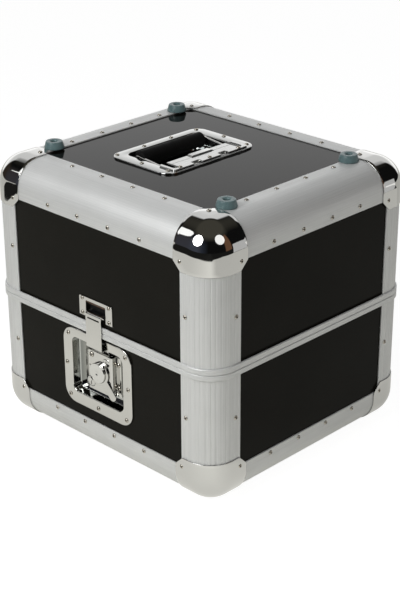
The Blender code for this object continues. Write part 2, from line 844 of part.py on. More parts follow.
def keeper(axis):
    arch, nick = keeperLow + keeperArch, keeperNick
    outline = [(-keeperHalf, keeperLow), (-keeperFootHalf, keeperLow), (-keeperArchHalf, arch),
               (keeperArchHalf, arch), (keeperFootHalf, keeperLow), (keeperHalf, keeperLow),
               (keeperHalf, keeperHigh - nick), (keeperHalf - nick, keeperHigh),
               (-keeperHalf + nick, keeperHigh), (-keeperHalf, keeperHigh - nick)]
    opening = roundRect(-cupHalf, cupHalf, cupLow, cupHigh, cupCorner, 2)
    g = cupWall
    rim = roundRect(-cupHalf - g, cupHalf + g, cupLow - g, cupHigh + g, cupCorner + g, 2)
    level = -skin
    pressedDish("latch_keeper", outline, opening, rim, level + keeperThick, level, -cupFloor, cupWall,
                front, nickel, axis)


def handleDish(axis):
    x0, y0 = handleMidX, handleMidY
    outline = roundRect(x0 - handleHalfX, x0 + handleHalfX, y0 - handleHalfY, y0 + handleHalfY,
                        handleCorner, 8)
    opening = roundRect(wellLowX, wellHighX, y0 - wellHalfY, y0 + wellHalfY, wellCorner, 6)
    g = dishThick
    rim = roundRect(wellLowX - g, wellHighX + g, y0 - wellHalfY - g, y0 + wellHalfY + g, wellCorner + g, 6)
    low = caseTop - skin
    smooth(pressedDish("handle_dish", outline, opening, rim, low + handleLip, low, caseTop - wellDepth,
                       dishThick, flat, nickel, axis))


def handlePlate(axis):
    y0 = handleMidY
    low = caseTop - skin + handleLip + seatGap
    outline = roundRect(plateLowX, plateHighX, y0 - plateHalfY, y0 + plateHalfY, plateCorner, 2)
    windows = []
    for sign in (-1, 1):
        mid = y0 + sign * springAt
        near, far = hingeX - springWindowNear, hingeX + springWindowFar
        lowY, highY = mid - springWindowHalf, mid + springWindowHalf
        windows.append([(near, lowY), (near, highY), (far, highY), (far, lowY)])
    verts, faces = prism([outline] + windows, low, low + plateThick, flat)
    plate = body("handle_hinge_plate", verts, faces, nickel)
    lip = box((plateLowX, y0 - plateLipNear, low + fuse),
              (plateLowX + plateThick, y0 + plateLipFar, low + plateLipRise))
    extras = [lip]
    gapAtSpring = springLength / 2 + seatGap
    inner = springAt - gapAtSpring
    outer = springAt + gapAtSpring
    end = plateHalfY - lugEnd
    for a, b in ((-end, -outer), (-inner, inner), (outer, end)):
        extras.append(box((hingeX - lugHalf, y0 + a, caseTop - hingeDrop - lugDrop),
                          (hingeX + lugHalf, y0 + b, low + fuse)))
    combine(plate, [solid(e) for e in extras], 'UNION')
    bore = rod((hingeX, caseTop - hingeDrop), hingeRod + seatGap, y0 - armHalf, y0 + armHalf, "y")
    combine(plate, [solid(bore)], 'DIFFERENCE')
    carry(smooth(plate), axis)


def handleSprings(axis):
    for side, sign in (("front", -1), ("back", 1)):
        mid = handleMidY + sign * springAt
        coils = 4
        steps = 12
        ringSteps = 5
        radius = hingeRod + seatGap + springWire
        length = springLength - 2 * springWire
        verts = []
        faces = []
        total = coils * steps + 1
        for k in range(total):
            a = 2 * math.pi * k / steps
            y = mid - length / 2 + length * k / (total - 1)
            for m in range(ringSteps):
                b = 2 * math.pi * m / ringSteps
                reach = radius + springWire * math.cos(b)
                verts.append((hingeX + reach * math.cos(a), y + springWire * math.sin(b),
                              caseTop - hingeDrop + reach * math.sin(a)))
        for k in range(total - 1):
            for m in range(ringSteps):
                n = (m + 1) % ringSteps
                faces.append((k * ringSteps + m, k * ringSteps + n,
                              (k + 1) * ringSteps + n, (k + 1) * ringSteps + m))
        faces.append(tuple(range(ringSteps)))
        faces.append(tuple((total - 1) * ringSteps + m for m in range(ringSteps)))
        smooth(body(f"handle_spring_{side}", verts, faces, springSteel, axis), 60)


def handleBail(axis):
    y0 = handleMidY
    hingeZ = caseTop - hingeDrop
    gripZ = caseTop - gripDrop
    lean = math.degrees(math.atan2(gripZ - hingeZ, gripX - hingeX))
    half = armWidth / 2
    stadium = (arc(hingeX, hingeZ, half, lean - 270, lean - 90, 12)
               + arc(gripX, gripZ, half, lean - 90, lean + 90, 12))

    def upright(u, v, w):
        return (u, w, v)

    arms = []
    for sign in (-1, 1):
        mid = y0 + sign * armHalf
        arms.append(prism([stadium], mid - armThick / 2, mid + armThick / 2, upright))
    bail = body("handle_bail", arms[0][0], arms[0][1], nickel)
    reach = armHalf
    parts = [arms[1],
             rod((hingeX, hingeZ), hingeRod, y0 - reach, y0 + reach, "y"),
             rod((gripX, gripZ), gripCore, y0 - reach, y0 + reach, "y")]
    combine(bail, [solid(p) for p in parts], 'UNION')
    carry(smooth(bail), axis)


def handleGrip(axis):
    y0 = handleMidY
    gripZ = caseTop - gripDrop
    reach = armHalf - armThick / 2 - seatGap
    bevel = gripBevel
    bore = gripCore + seatGap
    profile = [(bore, -reach), (gripRadius - bevel, -reach), (gripRadius, -reach + bevel),
               (gripRadius, reach - bevel), (gripRadius - bevel, reach), (bore, reach)]
    steps = 32
    verts = []
    faces = []
    for radius, along in profile:
        for k in range(steps):
            a = 2 * math.pi * k / steps
            verts.append((gripX + radius * math.cos(a), y0 + along, gripZ + radius * math.sin(a)))
    rows = len(profile)
    for i in range(rows):
        n = (i + 1) % rows
        for k in range(steps):
            m = (k + 1) % steps
            faces.append((i * steps + k, i * steps + m, n * steps + m, n * steps + k))
    smooth(body("handle_grip", verts, faces, gripRubber, axis))


def hingeSide(up):
    """Half of a rear hinge as (out, height) outlines above (+1) or below (-1) the parting plane."""
    a = rearAxisOut
    near = a - rearKnuckle
    bandEdge = (lidBandHeight if up > 0 else baseBandHeight) + seatGap
    t = rearLeaf
    plate = [(-skin, bandEdge), (near + t, bandEdge), (near + t, bandEdge + t), (-skin + t, bandEdge + t),
             (-skin + t, rearLeafLong), (-skin, rearLeafLong)]
    post = [(near, 0.0), (near + t, 0.0), (near + t, bandEdge + t / 2), (near, bandEdge + t / 2)]
    reach = rearKnuckle + fuse
    lug = [(a + reach * math.cos(b), reach * math.sin(b)) for b in
           [rearStopAngle + (math.radians(112) - rearStopAngle) * k / 4 for k in range(5)]]
    tipOut = a + rearStopReach * math.cos(rearStopAngle)
    lug += [(near, reach), (near, bandEdge + t / 2), (tipOut, bandEdge + t / 2),
            (tipOut, rearStopReach * math.sin(rearStopAngle))]
    return [[(out, up * height) for out, height in loop] for loop in (plate, post, lug)]


def rearHinges(lidAxis):
    pivotV = parting - caseBottom
    for side, mid in (("left", -rearHingeX), ("right", rearHingeX)):
        def place(out, height, w):
            return back(mid + w, pivotV + height, out)

        plate, post, lug = hingeSide(-1)
        knuckle = circle(rearAxisOut, 0.0, rearKnuckle, 20)
        verts, faces = prism([plate], -rearHalf, rearHalf, place)
        leaf = body(f"hinge_leaf_base_{side}", verts, faces, nickel)
        parts = [prism([lug], -rearMiddle, rearMiddle, place)]
        inner = rearMiddle + seatGap
        for a, b in ((-rearHalf, -inner), (inner, rearHalf)):
            parts.append(prism([post], a, b, place))
            parts.append(prism([knuckle], a, b, place))
        pin = rearHalf - rearPinEnd
        parts.append(prism([circle(rearAxisOut, 0.0, rearPin, 20)], -pin, pin, place))
        smooth(combine(leaf, [solid(p) for p in parts], 'UNION'))

        plate, post, lug = hingeSide(1)
        verts, faces = prism([plate], -rearHalf, rearHalf, place)
        leaf = body(f"hinge_leaf_lid_{side}", verts, faces, nickel)
        parts = [prism([shape], -rearMiddle, rearMiddle, place) for shape in (lug, post, knuckle)]
        combine(leaf, [solid(p) for p in parts], 'UNION')
        bore = prism([circle(rearAxisOut, 0.0, rearPin + seatGap, 20)], -rearHalf, rearHalf, place)
        combine(leaf, [solid(bore)], 'DIFFERENCE')
        carry(smooth(leaf), lidAxis)


lidAxis = axisMarker("lid_axis", (0.0, halfY + rearAxisOut, parting))
handleAxis = axisMarker("handle_axis", (hingeX, handleMidY, caseTop - hingeDrop), lidAxis)
turnAxis = axisMarker("latch_turn_axis", front(0.0, spindleZ, 0.0))
wingAxis = axisMarker("wing_axis", front(0.0, spindleZ, wingAxisOut), turnAxis)
slideAxis = axisMarker("slide_axis", front(0.0, spindleZ, slideFront))
hookAxis = axisMarker("hook_axis", front(0.0, hookPivotZ, hookPivotOut), slideAxis)

baseShell()
lidShell(lidAxis)
feet(lidAxis)
latchDish()
latchBracket()
latchDisc(turnAxis)
latchWing(wingAxis)
latchSlide(slideAxis)
latchHook(hookAxis)
keeper(lidAxis)
handleDish(lidAxis)
handlePlate(lidAxis)
handleSprings(lidAxis)
handleBail(handleAxis)
handleGrip(handleAxis)
rearHinges(lidAxis)
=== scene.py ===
import math

import bmesh
import bpy
import numpy as np
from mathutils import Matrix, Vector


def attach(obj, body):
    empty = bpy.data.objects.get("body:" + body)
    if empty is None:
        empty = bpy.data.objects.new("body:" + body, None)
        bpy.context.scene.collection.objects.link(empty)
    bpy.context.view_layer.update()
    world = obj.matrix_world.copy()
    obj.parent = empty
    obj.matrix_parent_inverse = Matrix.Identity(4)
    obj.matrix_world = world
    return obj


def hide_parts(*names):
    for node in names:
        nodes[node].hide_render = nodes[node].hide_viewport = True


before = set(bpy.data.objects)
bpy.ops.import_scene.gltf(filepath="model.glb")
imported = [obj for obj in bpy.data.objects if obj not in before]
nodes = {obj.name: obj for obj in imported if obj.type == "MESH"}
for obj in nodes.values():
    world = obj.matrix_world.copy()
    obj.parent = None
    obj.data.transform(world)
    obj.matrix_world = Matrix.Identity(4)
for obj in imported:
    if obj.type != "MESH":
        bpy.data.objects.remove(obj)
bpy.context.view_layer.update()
scene = bpy.context.scene
scene.view_settings.view_transform = 'Standard'
print("frame loaded:", len(nodes), "nodes")

# the case itself, in metres, as the CAD has it
case = {
    "width": 0.385, "depth": 0.357, "height": 0.353,
    "bottom": 0.0013,            # lower plane of the aluminium edges
    "edgeRadius": 0.036,
    "wall": 0.0108,              # edge profile, panel and profile again
    "parting": 0.1753,
    "gap": 0.0003,               # between pieces that touch or run on each other
    "leastRound": 0.0004,        # smallest radius of an inner loop's corners
}
halfX = case["width"] / 2
halfY = case["depth"] / 2
low = case["bottom"]
top = case["bottom"] + case["height"]
parting = case["parting"]
gap = case["gap"]
corners = [(y.title() + x.title(), f"{y}_{x}", signX, signY)
           for y, signY in (("front", -1), ("back", 1)) for x, signX in (("left", -1), ("right", 1))]


def gridFaces(rows, cols, wrapRows=False, wrapCols=False):
    # quads between neighbouring rows and columns of a rows x cols grid of points
    r = np.arange(rows if wrapRows else rows - 1)
    c = np.arange(cols if wrapCols else cols - 1)
    r, c = np.meshgrid(r, c, indexing="ij")
    nextR, nextC = (r + 1) % rows, (c + 1) % cols
    quads = [r * cols + c, r * cols + nextC, nextR * cols + nextC, nextR * cols + c]
    return np.stack(quads, -1).reshape(-1, 4).tolist()


def cappedFaces(rows, cols):
    # rings joined one to the next, with both ends closed
    ends = [list(range(cols)), list(range((rows - 1) * cols, rows * cols))]
    return gridFaces(rows, cols, wrapCols=True) + ends


def newMesh(name, points, faces):
    mesh = bpy.data.meshes.new(name)
    mesh.from_pydata(np.asarray(points, float).reshape(-1, 3).tolist(), [], faces)
    return mesh


def cleanMesh(mesh, merge, inside=None, flatAngle=0):
    # points merged and faces turned outwards, or away from the point "inside"; loose triangles join into flat
    # faces where flatAngle is given
    bm = bmesh.new()
    bm.from_mesh(mesh)
    bmesh.ops.remove_doubles(bm, verts=bm.verts[:], dist=merge)
    if flatAngle:
        limit = math.radians(flatAngle)
        bmesh.ops.dissolve_limit(bm, angle_limit=limit, verts=bm.verts[:], edges=bm.edges[:])
    bmesh.ops.recalc_face_normals(bm, faces=bm.faces[:])
    if inside is not None:
        inside = Vector(inside)
        if sum((f.calc_center_median() - inside).dot(f.normal) * f.calc_area() for f in bm.faces) < 0:
            bmesh.ops.reverse_faces(bm, faces=bm.faces[:])
    bm.to_mesh(mesh)
    bm.free()


def smoothMesh(mesh, sharp):
    mesh.shade_smooth()
    mesh.set_sharp_from_angle(angle=math.radians(sharp))


def newObject(name, mesh, material, sharp):
    smoothMesh(mesh, sharp)
    mesh.materials.clear()
    mesh.materials.append(material)
    piece = bpy.data.objects.new(name, mesh)
    scene.collection.objects.link(piece)
    return piece


def addBevel(piece, width, angle=32, segments=2):
    if width > 0:
        edge = piece.modifiers.new("softEdges", 'BEVEL')
        edge.width = width
        edge.segments = segments
        edge.limit_method = 'ANGLE'
        edge.angle_limit = math.radians(angle)


def joinCase(piece, body, nodeNames):
    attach(piece, body)
    if nodeNames:
        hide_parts(*nodeNames)
    return piece


def makePiece(name, points, faces, material, body, nodeNames=(), slotName="plated_steel", sharp=32,
              merge=1e-6, bevel=0.0, bevelSegments=2):
    # one object from an (n, 3) array and a face list
    mesh = newMesh(name, points, faces)
    cleanMesh(mesh, merge)
    piece = newObject(name, mesh, material, sharp)
    addBevel(piece, bevel, segments=bevelSegments)
    return joinCase(piece, body, nodeNames)


def makeSheet(name, points, faces, material, body, nodeNames, thick, inside, soft):
    # an open surface that gets its thickness on the side of the point "inside"
    mesh = newMesh(name, points, faces)
    cleanMesh(mesh, merge=2e-6, inside=inside)
    piece = newObject(name, mesh, material, sharp=40)
    wall = piece.modifiers.new("wall", 'SOLIDIFY')
    wall.thickness = thick
    wall.offset = -1.0
    addBevel(piece, soft, angle=50)
    return joinCase(piece, body, nodeNames)


def softCopy(nodeName, name, material, body, width):
    # the CAD piece with its edges softened
    mesh = nodes[nodeName].data.copy()
    mesh.name = name
    cleanMesh(mesh, merge=2e-6, flatAngle=1.5)
    piece = newObject(name, mesh, material, sharp=32)
    addBevel(piece, width)
    return joinCase(piece, body, [nodeName])


def joinParts(parts):
    # several (points, faces) pairs as one
    points, faces, start = [], [], 0
    for p, f in parts:
        points.append(p)
        faces += [[i + start for i in face] for face in f]
        start += len(p)
    return np.concatenate(points), faces


def circle(steps):
    return np.linspace(0, 2 * math.pi, steps, endpoint=False)


def arc(cx, cy, radius, start, stop, steps):
    # points on a circle between two angles in degrees
    a = np.radians(np.linspace(start, stop, steps + 1))
    return np.stack([cx + radius * np.cos(a), cy + radius * np.sin(a)], -1)


def roundRect(x0, x1, y0, y1, radius, steps=8):
    # rectangle whose corners are quarter circles, anticlockwise
    left, right, near, far = x0 + radius, x1 - radius, y0 + radius, y1 - radius
    middles = ((right, far), (left, far), (left, near), (right, near))
    return np.concatenate([arc(x, y, radius, 90 * k, 90 * k + 90, steps) for k, (x, y) in enumerate(middles)])


def caseLoop(out, height, steps):
    # the case's outline grown by out, at one height
    radius = max(case["edgeRadius"] + out, case["leastRound"])
    loop = roundRect(-halfX - out, halfX + out, -halfY - out, halfY + out, radius, steps)
    return np.concatenate([loop, np.full((len(loop), 1), height)], 1)


def extrude(loop, lowW, highW, place):
    # a closed outline carried along a straight line, with both ends capped
    u, v = np.asarray(loop).T
    points = np.concatenate([place(u, v, np.full(len(u), w)) for w in (lowW, highW)])
    return points, cappedFaces(2, len(u))


def lathe(profile, place, steps=48, hollow=False):
    # (radius, height) points turned about an axis; a radius of nought closes the end, and a hollow one joins
    # its last ring to its first
    radius, height = np.asarray(profile).T
    a = circle(steps)
    u = radius[:, None] * np.cos(a)
    v = radius[:, None] * np.sin(a)
    w = np.repeat(height[:, None], steps, 1)
    return place(u.ravel(), v.ravel(), w.ravel()), gridFaces(len(radius), steps, hollow, True)


def barProfile(radius, start, stop, chip, bore=0.0):
    # lathe profile of a round bar with softened ends, and a bore or none
    return [(bore, start), (radius - chip, start), (radius, start + chip), (radius, stop - chip),
            (radius - chip, stop), (bore, stop)]


def flat(x, y, z):
    return np.stack([x, y, z], -1)


def front(x, z, out):
    # z counts from the lower plane of the edges and out from the front plane
    return flat(x, -halfY - out, low + z)


def frontAt(x, z, out=0.0, wide=1.0, tall=1.0):
    return lambda u, v, w: front(x + wide * u, z + tall * v, out + w)


def alongY(x, z):
    return lambda u, v, w: flat(x + u, w, z + v)


class Nodes:
    # short way to add and join shader nodes
    def __init__(self, tree):
        self.tree = tree

    def put(self, node, inputs):
        for key, value in inputs.items():
            if isinstance(value, bpy.types.NodeSocket):
                self.tree.links.new(value, node.inputs[key])
            else:
                node.inputs[key].default_value = value
        return node

    def add(self, kind, inputs=None, **settings):
        node = self.tree.nodes.new(kind)
        for key, value in settings.items():
            setattr(node, key, value)
        return self.put(node, inputs or {})

    def get(self, kind, inputs, **settings):
        return self.add(kind, inputs, **settings).outputs[0]

    def math(self, operation, a, b=0.0):
        return self.get('ShaderNodeMath', {0: a, 1: b}, operation=operation)

    def plus(self, a, b):
        return self.math('ADD', a, b)

    def times(self, first, *others):
        for other in others:
            first = self.math('MULTIPLY', first, other)
        return first

    def blend(self, a, b, share):
        # share of a with the rest of b
        return self.plus(self.times(a, share), self.times(b, 1 - share))

    def noise(self, place, scale, detail, **more):
        return self.get('ShaderNodeTexNoise', {'Vector': place, 'Scale': scale, 'Detail': detail, **more})

    def span(self, value, start, stop, first, last):
        # first to last while the value goes from start to stop, and level outside
        return self.get('ShaderNodeMapRange', {0: value, 1: start, 2: stop, 3: first, 4: last})

    def ramp(self, value, start, stop):
        node = self.add('ShaderNodeValToRGB', {0: value})
        node.color_ramp.elements[0].position = start
        node.color_ramp.elements[1].position = stop
        return node.outputs[0]

    def mixColour(self, factor, a, b):
        a, b = (c if isinstance(c, bpy.types.NodeSocket) else (*c, 1) for c in (a, b))
        return self.put(self.add('ShaderNodeMix', data_type='RGBA'), {0: factor, 6: a, 7: b}).outputs[2]

    def bump(self, strength, distance, height):
        return self.get('ShaderNodeBump', {'Strength': strength, 'Distance': distance, 'Height': height})

    def axes(self, place):
        return self.add('ShaderNodeSeparateXYZ', {0: place}).outputs

    def dress(self, shader, colour, rough, normal=None, **more):
        # the usual inputs of the surface shader; normal is what bump takes
        self.put(shader, {'Base Color': colour, 'Roughness': rough})
        if normal:
            self.put(shader, {'Normal': self.bump(*normal)})
        self.put(shader, {key.replace("_", " "): value for key, value in more.items()})

    def byRay(self, soft, mirrored, seen):
        # one shader for soft light, one for what mirrors show and one for the camera
        path = self.add('ShaderNodeLightPath').outputs
        other = self.get('ShaderNodeMixShader', {0: path['Is Glossy Ray'], 1: soft, 2: mirrored})
        return self.get('ShaderNodeMixShader', {0: path['Is Camera Ray'], 1: other, 2: seen})


def newMaterial(name):
    material = bpy.data.materials.new(name)
    material.use_nodes = True
    n = Nodes(material.node_tree)
    return material, n, n.tree.nodes["Principled BSDF"], n.add('ShaderNodeTexCoord').outputs['Object']


def satinAluminium(name, stretch):
    # satin extruded aluminium: streaks drawn out along the bar, over a faint broad mottling
    look = {"light": (0.80, 0.81, 0.805), "dark": (0.66, 0.67, 0.665), "metallic": 0.42, "mottle": 22.0,
            "streakShare": 0.75, "span": (0.30, 0.70), "rough": (0.55, 0.40), "bump": (0.05, 0.0002)}
    material, n, shader, place = newMaterial(name)
    streak = n.noise(n.get('ShaderNodeMapping', {0: place, 3: stretch}), 1.0, 4.0, Roughness=0.65)
    mixed = n.blend(streak, n.noise(place, look["mottle"], 3.0), look["streakShare"])
    n.dress(shader, n.mixColour(n.ramp(mixed, *look["span"]), look["dark"], look["light"]),
            n.span(streak, *look["span"], *look["rough"]), (*look["bump"], streak), Metallic=look["metallic"])
    return material


def mirrorMetal(name, colour, rough, haze=0.05, grain=180.0, bump=0.0, metallic=1.0, depth=None):
    # bright metal: a plain tint, with a haze of fine wiping marks in its roughness; depth is
    # (axis, level at the face, level at the floor, share of light left there) and paints shade or light into
    # a recess
    look = {"cloud": 35.0, "cloudShare": 0.6, "span": (0.35, 0.70), "darker": 0.93,
            "shadeCast": (1.0, 1.03, 1.04), "bumpDepth": 0.0005}
    material, n, shader, place = newMaterial(name)
    cloud = n.noise(place, look["cloud"], 5.0)
    marks = n.blend(cloud, n.noise(place, grain, 3.0), look["cloudShare"])
    tint = n.mixColour(cloud, colour, [look["darker"] * c for c in colour])
    # painted shade or light: the tint goes from plain at the face to the given share of it at the floor
    if depth:
        axis, face, floor, share = depth
        deep = [share * c * cast for c, cast in zip(colour, look["shadeCast"])]
        tint = n.mixColour(n.span(n.axes(place)[axis], face, floor, 0.0, 1.0), tint, deep)
    wave = (bump, look["bumpDepth"], cloud) if bump > 0 else None
    n.dress(shader, tint, n.span(marks, *look["span"], rough, rough + haze), wave, Metallic=metallic)
    return material


def blackLaminate(name, dusty, ior, polish):
    # glossy black board: nearly flat, a little orange peel and faint dust
    look = {"colour": (0.0090, 0.0085, 0.0066), "dust": (0.0128, 0.0120, 0.0096), "peel": 420.0, "cloud": 9.0,
            "dustBase": 0.4, "dustSpan": (0.35, 0.75), "polishSpan": (0.30, 0.75), "bump": (0.02, 0.00005)}
    material, n, shader, place = newMaterial(name)
    peel = n.noise(place, look["peel"], 2.0)
    cloud = n.noise(place, look["cloud"], 5.0)
    plain, dusted = ([dusty * c for c in look[key]] for key in ("colour", "dust"))
    dust = n.ramp(n.times(cloud, n.plus(peel, look["dustBase"])), *look["dustSpan"])
    n.dress(shader, n.mixColour(dust, plain, dusted), n.span(cloud, *look["polishSpan"], polish, 3 * polish),
            (*look["bump"], peel), IOR=ior)
    return material


def rubber(name, colour, rough, speckle, shine=0.5):
    # moulded rubber with a fine speckle and a dull bloom
    look = {"grit": 900.0, "bloom": 70.0, "span": (0.30, 0.70), "lift": 0.004, "dull": 0.18,
            "bump": (0.25, 0.0001)}
    material, n, shader, place = newMaterial(name)
    bloom = n.noise(place, look["bloom"], 3.0)
    lighter = [c * speckle + look["lift"] for c in colour]
    dull = n.span(bloom, *look["span"], rough, rough + look["dull"])
    n.dress(shader, n.mixColour(bloom, colour, lighter), dull,
            (*look["bump"], n.noise(place, look["grit"], 4.0)), Specular_IOR_Level=shine)
    return material


def feltCloth(name):
    # felt: matted fibres as stretched noise, with a soft sheen
    look = {"dark": (0.018, 0.018, 0.020), "light": (0.085, 0.085, 0.09), "fibre": 1400.0, "patch": 30.0,
            "fibreShare": 0.6, "rough": 0.95, "sheen": 0.35, "bump": (0.6, 0.0003)}
    material, n, shader, place = newMaterial(name)
    fibre = n.noise(place, look["fibre"], 5.0, Distortion=1.5)
    tone = n.blend(fibre, n.noise(place, look["patch"], 3.0), look["fibreShare"])
    n.dress(shader, n.mixColour(tone, look["dark"], look["light"]), look["rough"], (*look["bump"], fibre),
            Sheen_Weight=look["sheen"])
    return material


aluminiumX = satinAluminium("satin_aluminium_along_x", (9.0, 1500.0, 1500.0))
aluminiumY = satinAluminium("satin_aluminium_along_y", (1500.0, 9.0, 1500.0))
aluminiumZ = satinAluminium("satin_aluminium_upright", (1500.0, 1500.0, 7.0))
aluminiumBand = satinAluminium("satin_aluminium_band", (60.0, 60.0, 1600.0))
chrome = mirrorMetal("chromed_steel", (0.66, 0.66, 0.645), 0.02, 0.04)
plated = mirrorMetal("plated_steel", (0.80, 0.79, 0.75), 0.20, 0.12, 260.0, 0.04)
brightPlated = mirrorMetal("bright_plated_steel", (0.72, 0.72, 0.70), 0.07, 0.08, 260.0)
rivetMetal = mirrorMetal("rivet_steel", (0.56, 0.53, 0.47), 0.06, 0.08)
# painted shade: the black plug that fills each rivet's hole
rivetEyeShade = mirrorMetal("rivet_eye_painted_shade", (0.05, 0.045, 0.04), 0.35, 0.1)
springSteel = mirrorMetal("spring_steel", (0.62, 0.62, 0.60), 0.16, 0.10)
dishMetal = mirrorMetal("nickel_plate", (0.65, 0.645, 0.62), 0.045, 0.07, 260.0, 0.02)
# painted shade: the latch well's colour darkens towards its floor
latchWell = mirrorMetal("nickel_plate_latch_well_painted_shade", (0.65, 0.645, 0.62), 0.035, 0.06, 260.0, 0.02, 1.0,
                        (1, -halfY + 0.0005, -halfY + 0.0075, 0.72))
# painted light: the handle well's colour lightens a little towards its floor
handleWell = mirrorMetal("nickel_plate_handle_well_painted_light", (0.575, 0.58, 0.57), 0.035, 0.06, 260.0, 0.01, 1.0,
                         (2, 0.3540, 0.3470, 1.05))
satinNickel = mirrorMetal("satin_nickel", (0.70, 0.705, 0.695), 0.16, 0.10, 420.0, 0.0, 0.85)
# painted shade: near-black steel for the slits, holes, lines and the keeper's sheet that stand for shade
shadeBlack = mirrorMetal("painted_shade_black", (0.03, 0.03, 0.03), 0.4, 0.1)
brownSteel = mirrorMetal("brown_steel", (0.16, 0.10, 0.07), 0.30, 0.1, 180.0, 0.0, 0.25)
studMetal = mirrorMetal("stud_steel", (0.50, 0.51, 0.50), 0.10, 0.08)
laminate = blackLaminate("black_laminate", 1.0, 1.13, 0.030)
topLaminate = blackLaminate("black_laminate_top", 0.4, 1.232, 0.004)
footRubber = rubber("foot_rubber", (0.085, 0.135, 0.140), 0.20, 1.5)
gripRubber = rubber("grip_rubber", (0.0016, 0.0016, 0.0017), 0.56, 1.6, 0.14)
felt = feltCloth("lining_felt")
print("materials made")

# rounded aluminium edges
edge = {
    "skin": 0.0016,
    "legTop": 0.0138, "legSide": 0.0102, "legUpright": 0.0127,
    "barEnd": 0.0501, "uprightEnd": 0.0465,
    "seamEnds": (0.0021, 0.0045),  # from the parting line down to the base's uprights and up to the lid's
    "lip": 0.0005,               # rounding of a leg's outer corner
    "step": 0.00034,             # spacing of the section's points
    "fade": 0.001,               # smooth strip beside the lip
    # pitch, half width and depth of the V grooves, then pitch and depth of the reeds
    "uprightFlutes": (0.0062, 0.0010, 0.00042, 0.00125, 0.00005),
    "barFlutes": (0.0042, 0.0006, 0.00006, 0.0014, 0.00004),
}


def flutes(s, pitch, width, depth, reedPitch, reedDepth):
    # depth below the skin at arc length s: a V groove every pitch, over fine rounded reeds
    near = np.abs((s / pitch + 0.5) % 1.0 - 0.5) * pitch
    groove = depth * np.clip(1 - near / width, 0, 1) ** 1.5
    return groove + reedDepth * (0.5 - 0.5 * np.cos(2 * math.pi * s / reedPitch))


def edgeSection(legU, legV, pattern):
    # rounded profile: leg, quarter round, leg; (u, v) run inward from the two outer planes
    r = case["edgeRadius"]
    quarter = r * math.pi / 2
    total = legU + quarter + legV
    lip, skin = edge["lip"], edge["skin"]
    s = np.linspace(lip, total - lip, int(total / edge["step"]))
    angle = np.clip((s - legU) / r, 0, math.pi / 2)
    u = r - r * np.cos(angle) + np.maximum(s - legU - quarter, 0)
    v = r - r * np.sin(angle) + np.maximum(legU - s, 0)
    d = flutes(s - legU - quarter / 2, *edge[pattern])
    d = d * np.clip(np.minimum(s - lip, total - lip - s) / edge["fade"], 0, 1)
    outer = np.stack([u + d * np.cos(angle), v + d * np.sin(angle)], -1)
    turnA = arc(lip, r + legU - lip, lip, 90, 180, 4)
    turnB = arc(r + legV - lip, lip, lip, -90, 0, 4)
    bend = arc(r, r, r - skin, -90, -180, 16)[1:-1]
    inner = [[r + legV, skin], [r, skin], *bend, [skin, r], [skin, r + legU]]
    return np.concatenate([turnA[:-1], outer, turnB[1:], np.array(inner)])


def edgeBars(half, level, inward):
    section = edgeSection(edge["legSide"], edge["legTop"], "barFlutes")
    for side, sign in (("front", -1), ("back", 1), ("left", -1), ("right", 1)):
        if side in ("front", "back"):
            reach, metal = halfX - edge["barEnd"], aluminiumX
            place = lambda u, v, w: flat(w, sign * (halfY - u), level + inward * v)
        else:
            reach, metal = halfY - edge["barEnd"], aluminiumY
            place = lambda u, v, w: flat(sign * (halfX - u), w, level + inward * v)
        makePiece(f"{half}Edge{side.title()}", *extrude(section, -reach, reach, place), metal, half,
                  [f"{half}_edge_{side}"], "satin_aluminium", 40)


def uprightBars(half, lowZ, highZ):
    section = edgeSection(edge["legUpright"], edge["legUpright"], "uprightFlutes")
    for title, tag, signX, signY in corners:
        place = lambda u, v, w: flat(signX * (halfX - u), signY * (halfY - v), w)
        makePiece(f"{half}Upright{title}", *extrude(section, lowZ, highZ, place), aluminiumZ, half,
                  [f"{half}_upright_{tag}"], "satin_aluminium", 40)


edgeBars("base", low, 1)
edgeBars("lid", top, -1)
uprightBars("base", low + edge["uprightEnd"], parting - edge["seamEnds"][0])
uprightBars("lid", parting + edge["seamEnds"][1], top - edge["uprightEnd"])
print("edges made")

# chromed ball corners
ball = {"reach": 0.058, "chamfer": 0.0115, "thick": 0.0010, "steps": 22, "rows": 6, "soft": 0.0004}


def cornerSheet():
    # an eighth of a sphere, three quarter cylinders and three flat tabs, as anchors and unit normals:
    # point = anchor + (radius + lift) * normal
    r, far, k, m = case["edgeRadius"], ball["reach"], ball["steps"], ball["rows"]
    q = np.linspace(0, math.pi / 2, k + 1)
    tilt, turn = np.meshgrid(q, q, indexing="ij")
    sphere = -flat(np.sin(tilt) * np.cos(turn), np.sin(tilt) * np.sin(turn), np.cos(tilt)).reshape(-1, 3)
    parts = [(np.hstack([np.full_like(sphere, r), sphere]), gridFaces(k + 1, k + 1))]
    line = np.linspace(r, far, m)
    end = far - ball["chamfer"]
    cutOff = [(far, end, r), (end, far, r)]
    tab = np.array([(u, r, r) for u in line] + cutOff + [(r, v, r) for v in line[:0:-1]])
    down = np.tile([0.0, 0.0, -1.0], (len(tab), 1))
    along, turn = (grid.ravel() for grid in np.meshgrid(line, q, indexing="ij"))
    full = np.full_like(along, r)
    tube, spoke = flat(along, full, full), flat(0 * along, -np.cos(turn), -np.sin(turn))
    for first in range(3):
        order = [(axis - first) % 3 for axis in range(3)]
        parts.append((np.hstack([tube[:, order], spoke[:, order]]), gridFaces(m, k + 1)))
        parts.append((np.hstack([tab[:, order], down[:, order]]), [list(range(len(tab)))]))
    points, faces = joinParts(parts)
    return points[:, :3], points[:, 3:], faces


